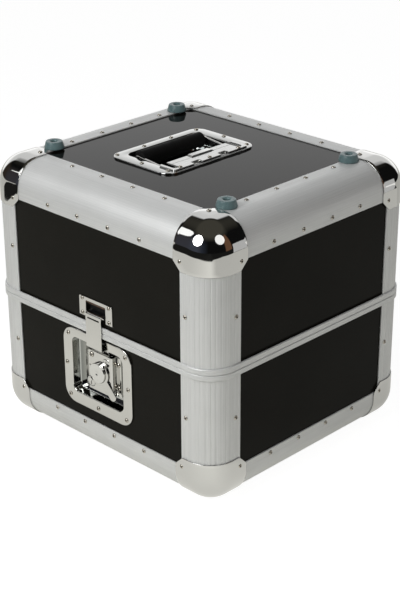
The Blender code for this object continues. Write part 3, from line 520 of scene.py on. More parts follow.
def ballCorners(half, level, inward):
    anchors, normals, sheet = cornerSheet()
    r = case["edgeRadius"]
    x, y, z = (anchors + (r + gap + ball["thick"]) * normals).T
    for title, tag, signX, signY in corners:
        p = flat(signX * (halfX - x), signY * (halfY - y), level + inward * z)
        middle = (signX * (halfX - r), signY * (halfY - r), level + inward * r)
        makeSheet(f"{half}Corner{title}", p, sheet, chrome, half, [f"{half}_corner_{tag}"],
                  ball["thick"], middle, ball["soft"])


ballCorners("base", low, 1)
ballCorners("lid", top, -1)
print("corners made")

# closing bands; heights are from the parting line
band = {
    "proud": 0.0022, "steps": 24, "reedPitch": 0.0021, "reedDepth": 0.00010, "reedStep": 0.0001,
    "round": 0.0013, "fade": 0.0004,
    "lift": 0.0008,              # seam above the parting line
    # tongue or groove: its outer and inner side, measured in from the skin, and its height
    "base": {"end": -0.0064, "tongue": (0.0040, 0.0056, 0.0020), "skirt": -0.010, "wall": -0.0018},
    "lid": {"end": 0.0084, "tongue": (0.0037, 0.0059, 0.0026), "skirt": 0.012, "wall": 0.0042},
}


def reedLine(h0, h1, out):
    # fine half-round reeds up the band's face between two heights, with both edges rounded off
    h = np.linspace(h0, h1, int(abs(h1 - h0) / band["reedStep"]) + 1)
    rim = np.minimum(np.abs(h - h0), np.abs(h - h1))
    edgeFade = np.clip((rim - band["round"]) / band["fade"], 0, 1)
    d = band["reedDepth"] * (0.5 - 0.5 * np.cos(2 * math.pi * (h - h0) / band["reedPitch"]))
    soft = band["round"] * (1 - np.sqrt(1 - np.clip(1 - rim / band["round"], 0, 1) ** 2))
    return np.stack([out - d * edgeFade - soft, h], -1).tolist()


def reededBand(half, side):
    # closed (out, height) section carried round a rounded rectangle
    b = band[half]
    step = side * gap / 2
    seam = band["lift"] + step
    outer, inner, rise = b["tongue"]
    inset = case["wall"] + gap
    wall = inset + edge["skin"]
    section = reedLine(b["end"], seam, band["proud"])
    section += [[-outer, seam], [-outer, rise], [-inner, rise], [-inner, step], [-wall, step],
                [-wall, b["skirt"]], [-inset, b["skirt"]], [-inset, b["wall"]],
                [gap, b["wall"]], [gap, b["end"]]]
    points = np.stack([caseLoop(out, parting + height, band["steps"]) for out, height in section])
    rows, cols = points.shape[:2]
    makePiece(f"{half}Band", points, gridFaces(rows, cols, True, True), aluminiumBand, half, [f"{half}_band"],
              "satin_aluminium", 40)


reededBand("base", -1)
reededBand("lid", 1)
print("bands made")

foot = {"x": 0.148, "y": 0.1072, "base": 0.0127, "top": 0.0107, "height": 0.0092, "hole": 0.0040,
        "mouth": 0.0022, "round": 0.0011, "steps": 56,
        "brim": 0.0004, "brimHeight": 0.0010,
        # the screw's head in the hole: (radius, depth below the top)
        "screw": ((0.0039, 0.0055), (0.0036, 0.0062), (0.0030, 0.0062), (0.0026, 0.0050), (0.0012, 0.0048),
                  (0.0, 0.0048))}


def rubberFeet():
    h = foot["height"] - gap
    q, wide, brim, mouth = foot["round"], foot["base"], foot["brim"], foot["mouth"]
    profile = np.concatenate([[(0.0, 0.0), (wide - brim, 0.0), (wide, brim), (wide, foot["brimHeight"])],
                              arc(foot["top"] - q, h - q, q, 12, 90, 7),
                              arc(foot["hole"] + mouth, h - mouth, mouth, 90, 180, 8),
                              [(r, h - depth) for r, depth in foot["screw"]]])
    for title, tag, signX, signY in corners:
        place = lambda u, v, w: flat(signX * foot["x"] + u, signY * foot["y"] + v, top + gap + w)
        makePiece(f"foot{title}", *lathe(profile, place, foot["steps"]), footRubber, "lid", [f"foot_{tag}"],
                  "grey_rubber", 50)


rubberFeet()
print("feet made")

rivet = {"radius": 0.0029, "height": 0.0015, "tabSink": 0.0006, "steps": 16,
         "alongX": (0.0266, 0.0795), "alongY": (0.0255, 0.0765), "upright": 0.0405, "tab": (0.0475, 0.0460),
         "topFromFront": 0.0410, "topFromSide": 0.0426,
         # distance from the outer edge on the front and the sides, and height on the uprights
         "base": (0.0400, 0.0410, 0.1130), "lid": (0.0386, 0.0386, 0.2415),
         # the dome's rings as shares of its radius and height, then the eye's radius and levels (painted
         # shade)
         "ring": (0.84, 0.84, 1.0, 0.98, 0.90, 0.77, 0.62, 0.52, 0.46, 0.44, 0.0),
         "lift": (-0.2, 0.03, 0.16, 0.32, 0.55, 0.77, 0.92, 0.94, 0.84, 0.35, 0.30),
         "eye": (0.45, 0.32, 0.60), "eyeSteps": 10}
rivetPlaces = {"base": [], "lid": []}        # (centre, axis, scale) of each dome


def addRivet(body, centre, axis, scale=1.0):
    rivetPlaces[body].append((centre, axis, scale))


def frontRivets(body, places, out, scale=1.0):
    for x, z in places:
        addRivet(body, (x, -halfY - out, low + z), (0, -1, 0), scale)


def bothWays(distances):
    return [sign * distance for distance in distances for sign in (-1, 1)]


def edgeRivets():
    a, b = rivet["tab"]
    lift = gap + ball["thick"]
    tabX, tabY = halfX + lift - rivet["tabSink"], halfY + lift - rivet["tabSink"]
    inX, inY = halfX - rivet["upright"], halfY - rivet["upright"]
    for body, level, up in (("base", low, 1), ("lid", top, -1)):
        frontDrop, sideDrop, height = rivet[body]
        z = low + height
        for sign in (-1, 1):
            for x in bothWays(rivet["alongX"]):
                addRivet(body, (x, sign * halfY, level + up * frontDrop), (0, sign, 0))
                if body == "lid":
                    addRivet(body, (x, sign * (halfY - rivet["topFromFront"]), level), (0, 0, 1))
            for y in bothWays(rivet["alongY"]):
                addRivet(body, (sign * halfX, y, level + up * sideDrop), (sign, 0, 0))
                if body == "lid":
                    addRivet(body, (sign * (halfX - rivet["topFromSide"]), y, level), (0, 0, 1))
        for _, _, signX, signY in corners:
            ahead, aside = (0, signY, 0), (signX, 0, 0)
            for x, y, height, axis in ((inX, halfY, z, ahead), (halfX, inY, z, aside),
                                       (halfX - a, tabY, level + up * b, ahead),
                                       (tabX, halfY - a, level + up * b, aside)):
                addRivet(body, (signX * x, signY * y, height), axis)
            if body == "lid":
                addRivet(body, (signX * (halfX - a), signY * (halfY - b), level + lift), (0, 0, 1))


def makeRivets(body):
    # a round cap with the mandrel's hole in it, turned about each rivet's axis, and a dark plug in the hole
    # as painted shade for the hole's inside
    k, m = rivet["steps"], rivet["eyeSteps"]
    size = (rivet["radius"], rivet["height"])
    radius, lowEye, highEye = rivet["eye"]
    dome = np.stack([rivet["ring"], rivet["lift"]], -1) * size
    plug = np.array([(radius, lowEye), (radius, highEye)]) * size
    parts, eyes = [], []
    for centre, axis, scale in rivetPlaces[body]:
        side = np.cross(axis, (0, 0, 1)) if abs(axis[2]) < 0.9 else np.array([1.0, 0, 0])
        other = np.cross(axis, side)
        place = lambda u, v, w: centre + scale * (np.outer(u, side) + np.outer(v, other) + np.outer(w, axis))
        points, faces = lathe(dome, place, k)
        parts.append((points, faces + [list(range(k))]))
        eyes.append((lathe(plug, place, m)[0], cappedFaces(2, m)))
    makePiece(f"{body}RivetEyeShade", *joinParts(eyes), rivetEyeShade, body, sharp=60, merge=1e-7)
    makePiece(f"{body}Rivets", *joinParts(parts), rivetMetal, body, sharp=75, merge=1e-7)


edgeRivets()


def rectLoop(rect, grow, steps, marks=()):
    # rounded rectangle (x0, x1, y0, y1, corner) grown all round; marks are extra points on its top side
    x0, x1, y0, y1, corner = rect
    loop = roundRect(x0 - grow, x1 + grow, y0 - grow, y1 + grow, corner + grow, steps)
    return np.array([*loop[:steps + 1], *[(m, y1 + grow) for m in marks], *loop[steps + 1:]])


def dishSurface(spec, place, marks=(), gapAbove=None):
    # pressed dish as rows of loops: turned-down rim, flange, fold, wall, fold, floor; the column between two
    # marks is left open above gapAbove
    k = spec["steps"]
    q = np.radians(np.linspace(0, 90, 6))
    rim, fold, root = spec["rim"], spec["fold"], spec["root"]
    face, floor = spec["face"], spec["floor"]
    rows = [("outer", 0.0, spec["under"])]
    rows += [("outer", -rim * (1 - math.cos(a)), face - rim * (1 - math.sin(a))) for a in q]
    rows += [("opening", fold * (1 - math.sin(a)), face - fold * (1 - math.cos(a))) for a in q]
    rows += [("opening", -root * (1 - math.cos(a)), floor + root * (1 - math.sin(a))) for a in q]
    loops = [rectLoop(spec[rect], grow, k, marks) for rect, grow, _ in rows]
    level = [w for _, _, w in rows]
    n = len(loops[0])
    points = np.concatenate([place(l[:, 0], l[:, 1], np.full(n, w)) for l, w in zip(loops, level)])
    faces = gridFaces(len(rows), n, wrapCols=True)
    if gapAbove is not None:
        faces = [f for f in faces if not (f[0] % n == k + 1 and level[f[0] // n] > gapAbove)]
    faces.append([(len(rows) - 1) * n + i for i in range(n)])
    return points, faces


# turn latch
latch = {
    "dish": {"outer": (-0.0608, 0.0608, 0.0618, 0.1650, 0.019),
             "opening": (-0.0455, 0.0455, 0.0785, 0.1525, 0.009),
             "face": 0.0008, "under": -0.0015, "floor": -0.0122, "rim": 0.0009, "fold": 0.0013,
             "root": 0.0022, "steps": 10},
    "dishThick": 0.0011, "dishSoft": 0.00025, "slotHalf": 0.0170, "slotFloor": -0.0102,
    "dishRivets": ((-0.051, 0.1555), (0.051, 0.1555), (-0.055, 0.114), (0.055, 0.114), (-0.051, 0.071),
                   (0.051, 0.071), (0.0, 0.068)),
    "spindle": 0.1170, "disc": 0.0130, "discFront": 0.0015, "discBack": -0.0027, "discRound": 0.0007,
    "dimple": ((0.0, -0.0006), (0.0016, -0.0006), (0.0024, -0.00015), (0.0032, 0.0001)),
    "shoulder": 0.62,            # share of the disc's radius where its face turns flat
    "spindleRadius": 0.0040,
    "crank": (0.0095, -0.0066, -0.0048), "crankPin": (0.0060, 0.0025, -0.0113), "chip": 0.0002,
    "wingFront": -0.0008, "wingBack": -0.0024, "wingInner": 0.0133, "wingOuter": 0.0172, "wingSoft": 0.0005,
    "wingReach": 0.0345, "wingTip": 0.0062, "knuckle": 0.0025, "ease": 0.0001, "axisOut": 0.0002,
    "pin": 0.0012, "pinSpan": (-0.0006, 0.0036),
}
strap = {
    "half": 0.0135, "thick": 0.0014, "soft": 0.0003, "bend": 0.0018, "window": (0.0102, 0.1893, 0.1911),
    # (out, z) from the eye over the front to the hook
    "path": ((-0.0073, 0.1390), (-0.0073, 0.1500), (0.0044, 0.1500), (0.0044, 0.1968), (-0.0050, 0.1968)),
    "eye": (-0.0080, 0.1390), "eyeBore": 0.0017, "eyeRadius": 0.0028, "eyeChip": 0.0002,
}


def latchDish():
    half = latch["slotHalf"]
    points, faces = dishSurface(latch["dish"], front, (half, -half), latch["slotFloor"])
    makeSheet("latchDish", points, faces, latchWell, "base", ["latch_dish"],
              latch["dishThick"], (0, 5.0, low + 0.11), latch["dishSoft"])
    frontRivets("base", latch["dishRivets"], latch["dish"]["face"])


def aslant(along, across):
    # point of the latch face, along the resting wing and across it
    c = math.sqrt(0.5)
    return c * (along + across), latch["spindle"] + c * (across - along)


def crossBar(radius, start, stop):
    # round bar on the wing's hinge axis
    place = lambda u, v, w: front(*aslant(u, w), latch["axisOut"] + v)
    return lathe(barProfile(radius, start, stop, gap), place, 24)


def turnLatch():
    r, f, b, e = latch["disc"], latch["discFront"], latch["discBack"], latch["discRound"]
    crankR, crankBack, crankFront = latch["crank"]
    spindle, chip = latch["spindleRadius"], latch["chip"]
    profile = [(radius, f + rise) for radius, rise in latch["dimple"]]
    profile += [(r * latch["shoulder"], f), *arc(r - e, f - e, e, 90, 0, 5), (r, b + gap), (r - gap, b),
                (spindle, b), (spindle, crankFront), (crankR - chip, crankFront), (crankR, crankFront - chip),
                (crankR, crankBack + chip), (crankR - chip, crankBack), (0.0, crankBack)]
    parts = [lathe(profile, frontAt(0.0, latch["spindle"]), 64)]
    throw, pinRadius, pinBack = latch["crankPin"]
    parts.append(lathe([(0.0, crankBack), (pinRadius, crankBack), (pinRadius, pinBack), (0.0, pinBack)],
                       frontAt(*aslant(throw, 0.0)), 24))
    inward, outward = latch["pinSpan"]
    parts += [crossBar(latch["pin"], sign * (r + inward), sign * (r + outward)) for sign in (-1, 1)]
    makePiece("latchDisc", *joinParts(parts), brightPlated, "latch_turner", ["latch_disc"], sharp=35)

    inner, outer, tip = latch["wingInner"], latch["wingOuter"], latch["wingTip"]
    outline = np.concatenate([arc(0, 0, inner, -86, 86, 40), arc(0, 0, outer, 86, 20, 16),
                              arc(latch["wingReach"], 0, tip, 75, -75, 24), arc(0, 0, outer, -20, -86, 16)])
    loop = np.stack(aslant(*outline.T), -1)
    makePiece("latchWing", *extrude(loop, latch["wingBack"], latch["wingFront"], front), dishMetal,
              "latch_wing_body", ["latch_wing"], bevel=latch["wingSoft"], bevelSegments=3)
    ease = latch["ease"]
    parts = [crossBar(latch["knuckle"], sign * (inner + ease), sign * (outer - ease)) for sign in (-1, 1)]
    makePiece("wingKnuckles", *joinParts(parts), brightPlated, "latch_wing_body", sharp=35)


def roundPath(points, radius, steps=5):
    # polyline with its inner corners rounded
    points = [np.asarray(p, float) for p in points]
    path = [points[0]]
    for before, at, after in zip(points, points[1:], points[2:]):
        a = (before - at) / np.linalg.norm(before - at)
        b = (after - at) / np.linalg.norm(after - at)
        turn = math.acos(max(-1.0, min(1.0, float(a @ b))))
        reach = radius / math.tan(turn / 2)
        start, stop = at + a * reach, at + b * reach
        middle = at + (a + b) / np.linalg.norm(a + b) * radius / math.sin(turn / 2)
        for t in np.linspace(0, 1, steps + 1):
            p = start * (1 - t) + stop * t
            path.append(middle + (p - middle) / np.linalg.norm(p - middle) * radius)
    return np.array(path + [points[-1]])


def strapHook():
    half = strap["half"]
    hole, z0, z1 = strap["window"]
    path = roundPath(strap["path"], strap["bend"])
    tall = int(np.argmax(np.diff(path[:, 1])))       # the long straight run up the front
    path = np.insert(path, tall + 1, [(path[tall][0], z0), (path[tall][0], z1)], 0)
    columns = np.array([-half, -hole, hole, half])
    m, n = len(path), len(columns)
    faces = [f for f in gridFaces(m, n) if not (f[0] // n == tall + 1 and f[0] % n == 1)]
    points = front(np.tile(columns, m), np.repeat(path[:, 1], n), np.repeat(path[:, 0], n))
    makeSheet("latchStrap", points, faces, dishMetal, "latch_hook_body", ["latch_hook"],
              strap["thick"], (0, -halfY + 0.5, low + 0.16), strap["soft"])
    out, z = strap["eye"]
    profile = barProfile(strap["eyeRadius"], -half, half, strap["eyeChip"], strap["eyeBore"])
    turned = lathe(profile, lambda u, v, w: front(w, z + v, out + u), 24, hollow=True)
    makePiece("latchEye", *turned, brightPlated, "latch_hook_body", sharp=35)


# the small things on the bracket and keeper: (x, z) of rivets, and (radius, out) profiles
trim = {
    "face": -0.0030,
    "faceRivet": (-0.0130, 0.1372), "faceScale": 1.25,
    "footRivets": ((0.0268, 0.1330), (0.0268, 0.1015)), "footScale": 1.15, "footFace": -0.0104,
    "bossAt": (0.0128, 0.1352), "bossScale": (1.25, 0.85),
    "boss": ((0.0, 0.00005), (0.0011, 0.00005), (0.0016, 0.00030), (0.0022, 0.00045), (0.0030, 0.00042),
             (0.0038, 0.00028), (0.0044, 0.00005), (0.0046, -0.0004), (0.0, -0.0004)),
    "studAt": (-0.0150, 0.1000),
    "stud": ((0.0, 0.00035), (0.0058, 0.00035), (0.0063, 0.0007), (0.0069, 0.0007), (0.0072, 0.0003),
             (0.0072, -0.0002), (0.0, -0.0002)),
    # slit and hole: black shapes of painted shade
    "slit": (0.0006, 0.0048, 0.0004), "slitRise": 0.0004,
    "holeAt": (-0.0168, 0.1221),
    "hole": ((0.0, 0.00012), (0.0008, 0.00012), (0.0010, 0.00005), (0.0010, -0.0003), (0.0, -0.0003)),
    # keeper: (out, z) section of the sloped ledge, and a black sheet of painted shade behind the hook's tip
    "ledge": ((-0.0008, 0.2070), (-0.0012, 0.2066), (-0.0054, 0.2066), (-0.0057, 0.2029), (-0.0063, 0.2029),
              (-0.0063, 0.2088), (-0.0058, 0.2088)),
    "ledgeHalf": 0.0173,
    "cupShade": (-0.0172, 0.0172, 0.1948, 0.2030, 0.0012), "cupShadeOut": (-0.0064, -0.0060),
    "keeperRivets": ((-0.0235, 0.1915), (0.0235, 0.1915), (-0.0235, 0.2105), (0.0235, 0.2105)),
    "keeperScale": 0.9,
}


def bracketTrim():
    face = trim["face"]
    frontRivets("base", [trim["faceRivet"]], face, trim["faceScale"])
    frontRivets("base", trim["footRivets"], trim["footFace"], trim["footScale"])
    boss = lathe(trim["boss"], frontAt(*trim["bossAt"], face, *trim["bossScale"]), 36)
    makePiece("detentBoss", *boss, chrome, "base", sharp=60)
    place = frontAt(*trim["studAt"], face)
    makePiece("latchStud", *lathe(trim["stud"], place, 40), studMetal, "base", sharp=30)
    # painted shade: a thin black block on the stud's face for the dark inside of its slot
    wide, tall, corner = trim["slit"]
    slit = roundRect(-wide, wide, -tall, tall, corner, 3)
    makePiece("studSlitShade", *extrude(slit, 0.0, trim["slitRise"], place), shadeBlack, "base", sharp=30)
    # painted shade: a black disc for the dark inside of the pin's hole
    pinHoleShade = lathe(trim["hole"], frontAt(*trim["holeAt"], face), 16)
    makePiece("bracketPinHoleShade", *pinHoleShade, shadeBlack, "base", sharp=60)


def keeperTrim():
    half = trim["ledgeHalf"]
    ledge = extrude(trim["ledge"], -half, half, lambda u, v, w: front(w, v, u))
    makePiece("keeperSlope", *ledge, brownSteel, "lid", sharp=30, bevel=0.0002)
    # painted shade: a black sheet stands for the dark inside of the keeper's cup
    cupShade = extrude(roundRect(*trim["cupShade"]), *trim["cupShadeOut"], front)
    makePiece("keeperCupShade", *cupShade, shadeBlack, "lid", sharp=30)
    frontRivets("lid", trim["keeperRivets"], -gap, trim["keeperScale"])


latchDish()
turnLatch()
strapHook()
bracketTrim()
keeperTrim()
softCopy("latch_bracket", "latchBracket", dishMetal, "base", 0.0003)
softCopy("latch_slide", "latchSlide", brightPlated, "latch_slide_body", 0.0002)
softCopy("latch_keeper", "latchKeeper", dishMetal, "lid", 0.0002)
print("latch made")

# recessed handle, in (x, y, z)
grab = {
    "dish": {"outer": (-0.0772, 0.0279, -0.0812, 0.0750, 0.0165),
             "opening": (-0.0645, 0.0215, -0.0635, 0.0575, 0.008),
             "face": 0.3547, "under": 0.3527, "floor": 0.3393, "rim": 0.0009, "fold": 0.0012, "root": 0.0022,
             "steps": 10},
    "dishThick": 0.0011, "dishSoft": 0.00025,
    "hinge": (0.0140, 0.3453), "grip": (-0.0474, 0.3510), "midY": -0.0030,
    "gripRadius": 0.0096, "gripRound": 0.0020, "gripRings": (0.00006, 0.004), "core": 0.0035, "rod": 0.0025,
    "armHalf": 0.0553, "armThick": 0.0030, "armWidth": 0.0094, "armSoft": 0.0007,
    "rivets": ((-0.0706, -0.0720), (-0.0708, -0.0262), (-0.0708, 0.0208), (-0.0706, 0.0660),
               (-0.026, -0.0730), (-0.026, 0.0705), (0.0165, -0.0706), (0.0165, 0.0675)),
    "plateRivets": ((0.0206, -0.0535), (0.0204, -0.0030), (0.0210, 0.0475)), "rivetScale": 0.95,
    "springAt": 0.0235, "springLength": 0.0110, "wire": 0.0006, "coils": 6, "coilSteps": 28, "wireSteps": 10,
}
plate = {
    "x": (-0.0024, 0.0244), "halfY": 0.0640, "low": 0.3550, "thick": 0.0016, "corner": 0.0030, "chip": 0.001,
    "armSlot": (0.0202, 0.0042),
    "notches": ((-0.0330, -0.0190), (0.0135, 0.0275)), "notchX": 0.0172, "notchRound": 0.0015,
    # the stop: a pressed tab with sloped ends, seen over a dark slit that is painted shade
    "tab": (0.0060, -0.0208, 0.0190), "tabRise": 0.0018, "tabInset": 0.0002,
    "tabSlope": ((0.0, 0.0), (0.003, 0.9), (0.004, 1.0)),
    # the slit, the shade line and the creases are black strips of painted shade
    "slitWide": 0.0015, "slitEnd": 0.0005,
    "shadeWide": 0.0016,         # dark line beside the plate's near edge
    "crease": (0.0061, 0.0005, 0.013),                # where, how wide and how far from the ends
    "lineSunk": 0.0001, "lineRise": (0.00008, 0.0002, 0.00005),
    # knuckles: half width, drop, distance from the arms and overlap with the plate
    "lug": (0.0048, 0.0042, 0.0050, 0.0004), "lugSteps": 40,
}


def handleDish():
    points, faces = dishSurface(grab["dish"], flat)
    makeSheet("handleDish", points, faces, handleWell, "lid", ["handle_dish"],
              grab["dishThick"], (-0.02, 0, -5.0), grab["dishSoft"])
    plateTop = plate["low"] + plate["thick"]
    for places, z in ((grab["rivets"], grab["dish"]["face"]), (grab["plateRivets"], plateTop)):
        for x, y in places:
            addRivet("lid", (x, y, z), (0, 0, 1), grab["rivetScale"])


def handleBail():
    hx, hz = grab["hinge"]
    gx, gz = grab["grip"]
    lean = math.degrees(math.atan2(gz - hz, gx - hx))
    half, reach, t, y0 = grab["armWidth"] / 2, grab["armHalf"], grab["armThick"] / 2, grab["midY"]
    stadium = np.concatenate([arc(hx, hz, half, lean - 270, lean - 90, 20),
                              arc(gx, gz, half, lean - 90, lean + 90, 20)])
    parts = [extrude(stadium, mid - t, mid + t, alongY(0, 0)) for mid in (y0 - reach, y0 + reach)]
    makePiece("handleArms", *joinParts(parts), brightPlated, "handle", ["handle_bail"], bevel=grab["armSoft"],
              bevelSegments=3)
    parts = [lathe([(0, y0 - reach), (r, y0 - reach), (r, y0 + reach), (0, y0 + reach)], alongY(x, z), 28)
             for x, z, r in ((hx, hz, grab["rod"]), (gx, gz, grab["core"]))]
    makePiece("handleRods", *joinParts(parts), brightPlated, "handle")


def handleGrip():
    # tube with rounded ends and faint moulding rings
    r, q = grab["gripRadius"], grab["gripRound"]
    deep, pitch = grab["gripRings"]
    reach = grab["armHalf"] - grab["armThick"] / 2 - gap
    bore = grab["core"] + gap
    ys = np.linspace(-reach + q, reach - q, 90)
    rings = np.stack([r - deep * (1 + np.cos(2 * math.pi * ys / pitch)), ys], -1)
    profile = np.concatenate([[(bore, -reach)], arc(r - q, -reach + q, q, -90, 0, 7), rings,
                              arc(r - q, reach - q, q, 0, 90, 7), [(bore, reach)]])
    profile[:, 1] += grab["midY"]
    makePiece("handleGrip", *lathe(profile, alongY(*grab["grip"]), 56, hollow=True), gripRubber, "handle",
              ["handle_grip"], "black_rubber", 50)


def handleSprings():
    # helix round the hinge rod; a round wire section is carried along it
    hx, hz = grab["hinge"]
    wire, m = grab["wire"], grab["wireSteps"]
    length = grab["springLength"] - 2 * wire
    total = grab["coils"] * grab["coilSteps"] + 1
    t = np.linspace(0, 1, total)[:, None]
    a = 2 * math.pi * grab["coils"] * t
    b = circle(m)
    reach = grab["rod"] + gap + wire + wire * np.cos(b)
    for side, sign in (("front", -1), ("back", 1)):
        y = grab["midY"] + sign * grab["springAt"] - length / 2 + length * t + wire * np.sin(b)
        makePiece(f"handleSpring{side.title()}", flat(hx + reach * np.cos(a), y, hz + reach * np.sin(a)),
                  cappedFaces(total, m), springSteel, "lid", [f"handle_spring_{side}"], "spring_steel", 60)


def handlePlate():
    # flat plate with slots for the two arms and notches on its near edge
    y0, z = grab["midY"], plate["low"]
    x0, x1 = plate["x"]
    deep, half = plate["armSlot"]
    c, chip, n = plate["corner"], plate["chip"], plate["notchRound"]
    lowY, highY = y0 - plate["halfY"], y0 + plate["halfY"]
    inX = plate["notchX"] + n
    loop = [(x0 + chip, lowY), *arc(x1 - c, lowY + c, c, -90, 0, 5)]
    for a, b in plate["notches"]:
        loop += [(x1, a), *arc(inX, a + n, n, -90, -180, 3), *arc(inX, b - n, n, 180, 90, 3), (x1, b)]
    loop += [*arc(x1 - c, highY - c, c, 0, 90, 5), (x0 + chip, highY), (x0, highY - chip)]
    for mid in (y0 + grab["armHalf"], y0 - grab["armHalf"]):
        loop += [(x0, mid + half), *arc(deep - half, mid, half, 90, -90, 8), (x0, mid - half)]
    loop.append((x0, lowY + chip))
    base = z + plate["thick"]
    makePiece("handleHingePlate", *extrude(loop, z, base, flat), satinNickel, "lid", ["handle_hinge_plate"],
              bevel=0.0003)

    inner, a, b = plate["tab"]
    rise, inset, slope = plate["tabRise"], plate["tabInset"], plate["tabSlope"]
    side = [(a + s, rise * h) for s, h in slope] + [(b - s, rise * h) for s, h in slope[::-1]]
    tab = extrude(side, x0 + inset, inner, lambda u, v, w: flat(w, u, base - inset + v))
    makePiece("handleStop", *tab, satinNickel, "lid", bevel=0.0004)
    return base, lowY, highY


def plateShadeLines(base, lowY, highY):
    # painted shade as thin black strips, (x0, x1, y0, y1, level, rise): slit, shade and two creases
    inner, a, b = plate["tab"]
    nearX, c = plate["x"][1], plate["corner"]
    crease, wide, clear = plate["crease"]
    sunk, end = plate["lineSunk"], plate["slitEnd"]
    start = inner + sunk
    slitRise, shadeRise, creaseRise = plate["lineRise"]
    strips = [(start, start + plate["slitWide"], a + end, b - end, base, slitRise),
              (nearX - gap, nearX + plate["shadeWide"], lowY + c, highY - c, grab["dish"]["face"], shadeRise),
              (crease, crease + wide, lowY + clear, a, base, creaseRise),
              (crease, crease + wide, b, highY - clear, base, creaseRise)]
    lines = [extrude([(x0, y0), (x1, y0), (x1, y1), (x0, y1)], level - sunk, level + rise, flat)
             for x0, x1, y0, y1, level, rise in strips]
    makePiece("handlePlateShadeLines", *joinParts(lines), shadeBlack, "lid", sharp=30)


def handleKnuckles():
    # a round bore inside a square web that reaches up to the plate
    hx, hz = grab["hinge"]
    half, drop, end, overlap = plate["lug"]
    k = plate["lugSteps"]
    dx, dz = np.cos(circle(k)), np.sin(circle(k))
    up = plate["low"] + overlap - hz
    reach = np.where(dz > 0, np.minimum(half / np.maximum(np.abs(dx), 1e-6), up / np.maximum(dz, 1e-6)), half)
    reach = np.where(dz <= 0, np.minimum(half, drop / np.maximum(-dz, 1e-6)), reach)
    bore = np.full(k, grab["rod"] + gap)
    at, spring = grab["springAt"], grab["springLength"] / 2 + gap
    last = grab["armHalf"] - grab["armThick"] / 2 - end
    parts = []
    for a, b in ((-last, -at - spring), (spring - at, at - spring), (at + spring, last)):
        rows = [(reach, a), (reach, b), (bore, b), (bore, a)]
        rings = [flat(hx + r * dx, np.full(k, grab["midY"] + y), hz + r * dz) for r, y in rows]
        parts.append((np.concatenate(rings), gridFaces(4, k, True, True)))
    makePiece("handleKnuckles", *joinParts(parts), plated, "lid", bevel=0.0002)


handleDish()
plateShadeLines(*handlePlate())
handleKnuckles()
handleBail()
handleGrip()
handleSprings()
print("handle made")

rear = {"x": 0.105, "rivetsX": (-0.017, 0.0, 0.017), "rivetZ": 0.034, "out": -0.0002}


def rearHinges():
    for side, sign in (("left", -1), ("right", 1)):
        for half, up in (("base", -1), ("lid", 1)):
            softCopy(f"hinge_leaf_{half}_{side}", f"{half}Hinge{side.title()}", plated, half, 0.00025)
            for x in rear["rivetsX"]:
                addRivet(half, (sign * rear["x"] + x, halfY + rear["out"], parting + up * rear["rivetZ"]),
                         (0, 1, 0))


rearHinges()
makeRivets("base")
makeRivets("lid")
print("rivets made")

lining = {"thick": 0.004, "out": 0.0111, "radius": 0.0249, "baseEnd": 0.0103, "lidEnd": 0.0123, "lip": 0.0006,
          "window": 0.0025, "windowDeep": 0.02, "steps": 10, "wallRows": 13}


def feltTray(half, level, end, hole):
    # tub of rounded rectangles: floor, quarter-round foot, wall; a felt-covered foam sheet
    up = 1 if end > level else -1
    lip = lining["lip"]
    q = np.linspace(0, math.pi / 2, lining["steps"] + 1)
    rows = []
    for grow, way in ((0.0, 1), (lining["thick"], -1)):
        out = -lining["out"] - grow
        radius = lining["radius"] - grow
        part = [(out - radius * (1 - math.sin(a)), level + up * (grow + radius * (1 - math.cos(a))))
                for a in q]
        part += [(out, h) for h in np.linspace(part[-1][1], end - up * lip, lining["wallRows"] + 1)[1:]]
        part.append((out - way * lip, end))
        rows += part[::way]
    loops = [caseLoop(out, height, lining["steps"]) for out, height in rows]
    piece = makePiece(f"{half}Lining", np.concatenate(loops), cappedFaces(len(rows), len(loops[0])), felt,
                      half, [f"{half}_lining"], "grey_felt", 50)
    cutter = bmesh.new()
    bmesh.ops.create_cube(cutter, size=1.0)
    for v in cutter.verts:
        v.co = Vector([(a + b) / 2 + c * (b - a) for c, (a, b) in zip(v.co, hole)])
    mesh = bpy.data.meshes.new("cutter")
    cutter.to_mesh(mesh)
    cutter.free()
    tool = bpy.data.objects.new("cutter", mesh)
    scene.collection.objects.link(tool)
    cut = piece.modifiers.new("opening", 'BOOLEAN')
    cut.operation = 'DIFFERENCE'
    cut.object = tool
    cut.solver = 'EXACT'
    shaped = bpy.data.meshes.new_from_object(piece.evaluated_get(bpy.context.evaluated_depsgraph_get()))
    piece.modifiers.clear()
    piece.data = shaped
    bpy.data.objects.remove(tool)
    smoothMesh(shaped, 50)


w, deep = lining["window"], lining["windowDeep"]
x0, x1, z0, z1, _ = latch["dish"]["opening"]
feltTray("base", low + lining["out"], parting - lining["baseEnd"],
         ((x0 - w, x1 + w), (-halfY, -halfY + deep), (low + z0 - w, low + z1 + w)))
x0, x1, y0, y1, _ = grab["dish"]["opening"]
feltTray("lid", top - lining["out"], parting + lining["lidEnd"],
         ((x0 - w, x1 + w), (y0 - w, y1 + w), (top - deep, top)))
print("linings made")

for name, node in nodes.items():
    if "_panel_" in name:
        node.data.materials.clear()
        node.data.materials.append(topLaminate if "top" in name else laminate)
    elif not node.hide_render:
        print("still CAD:", name)

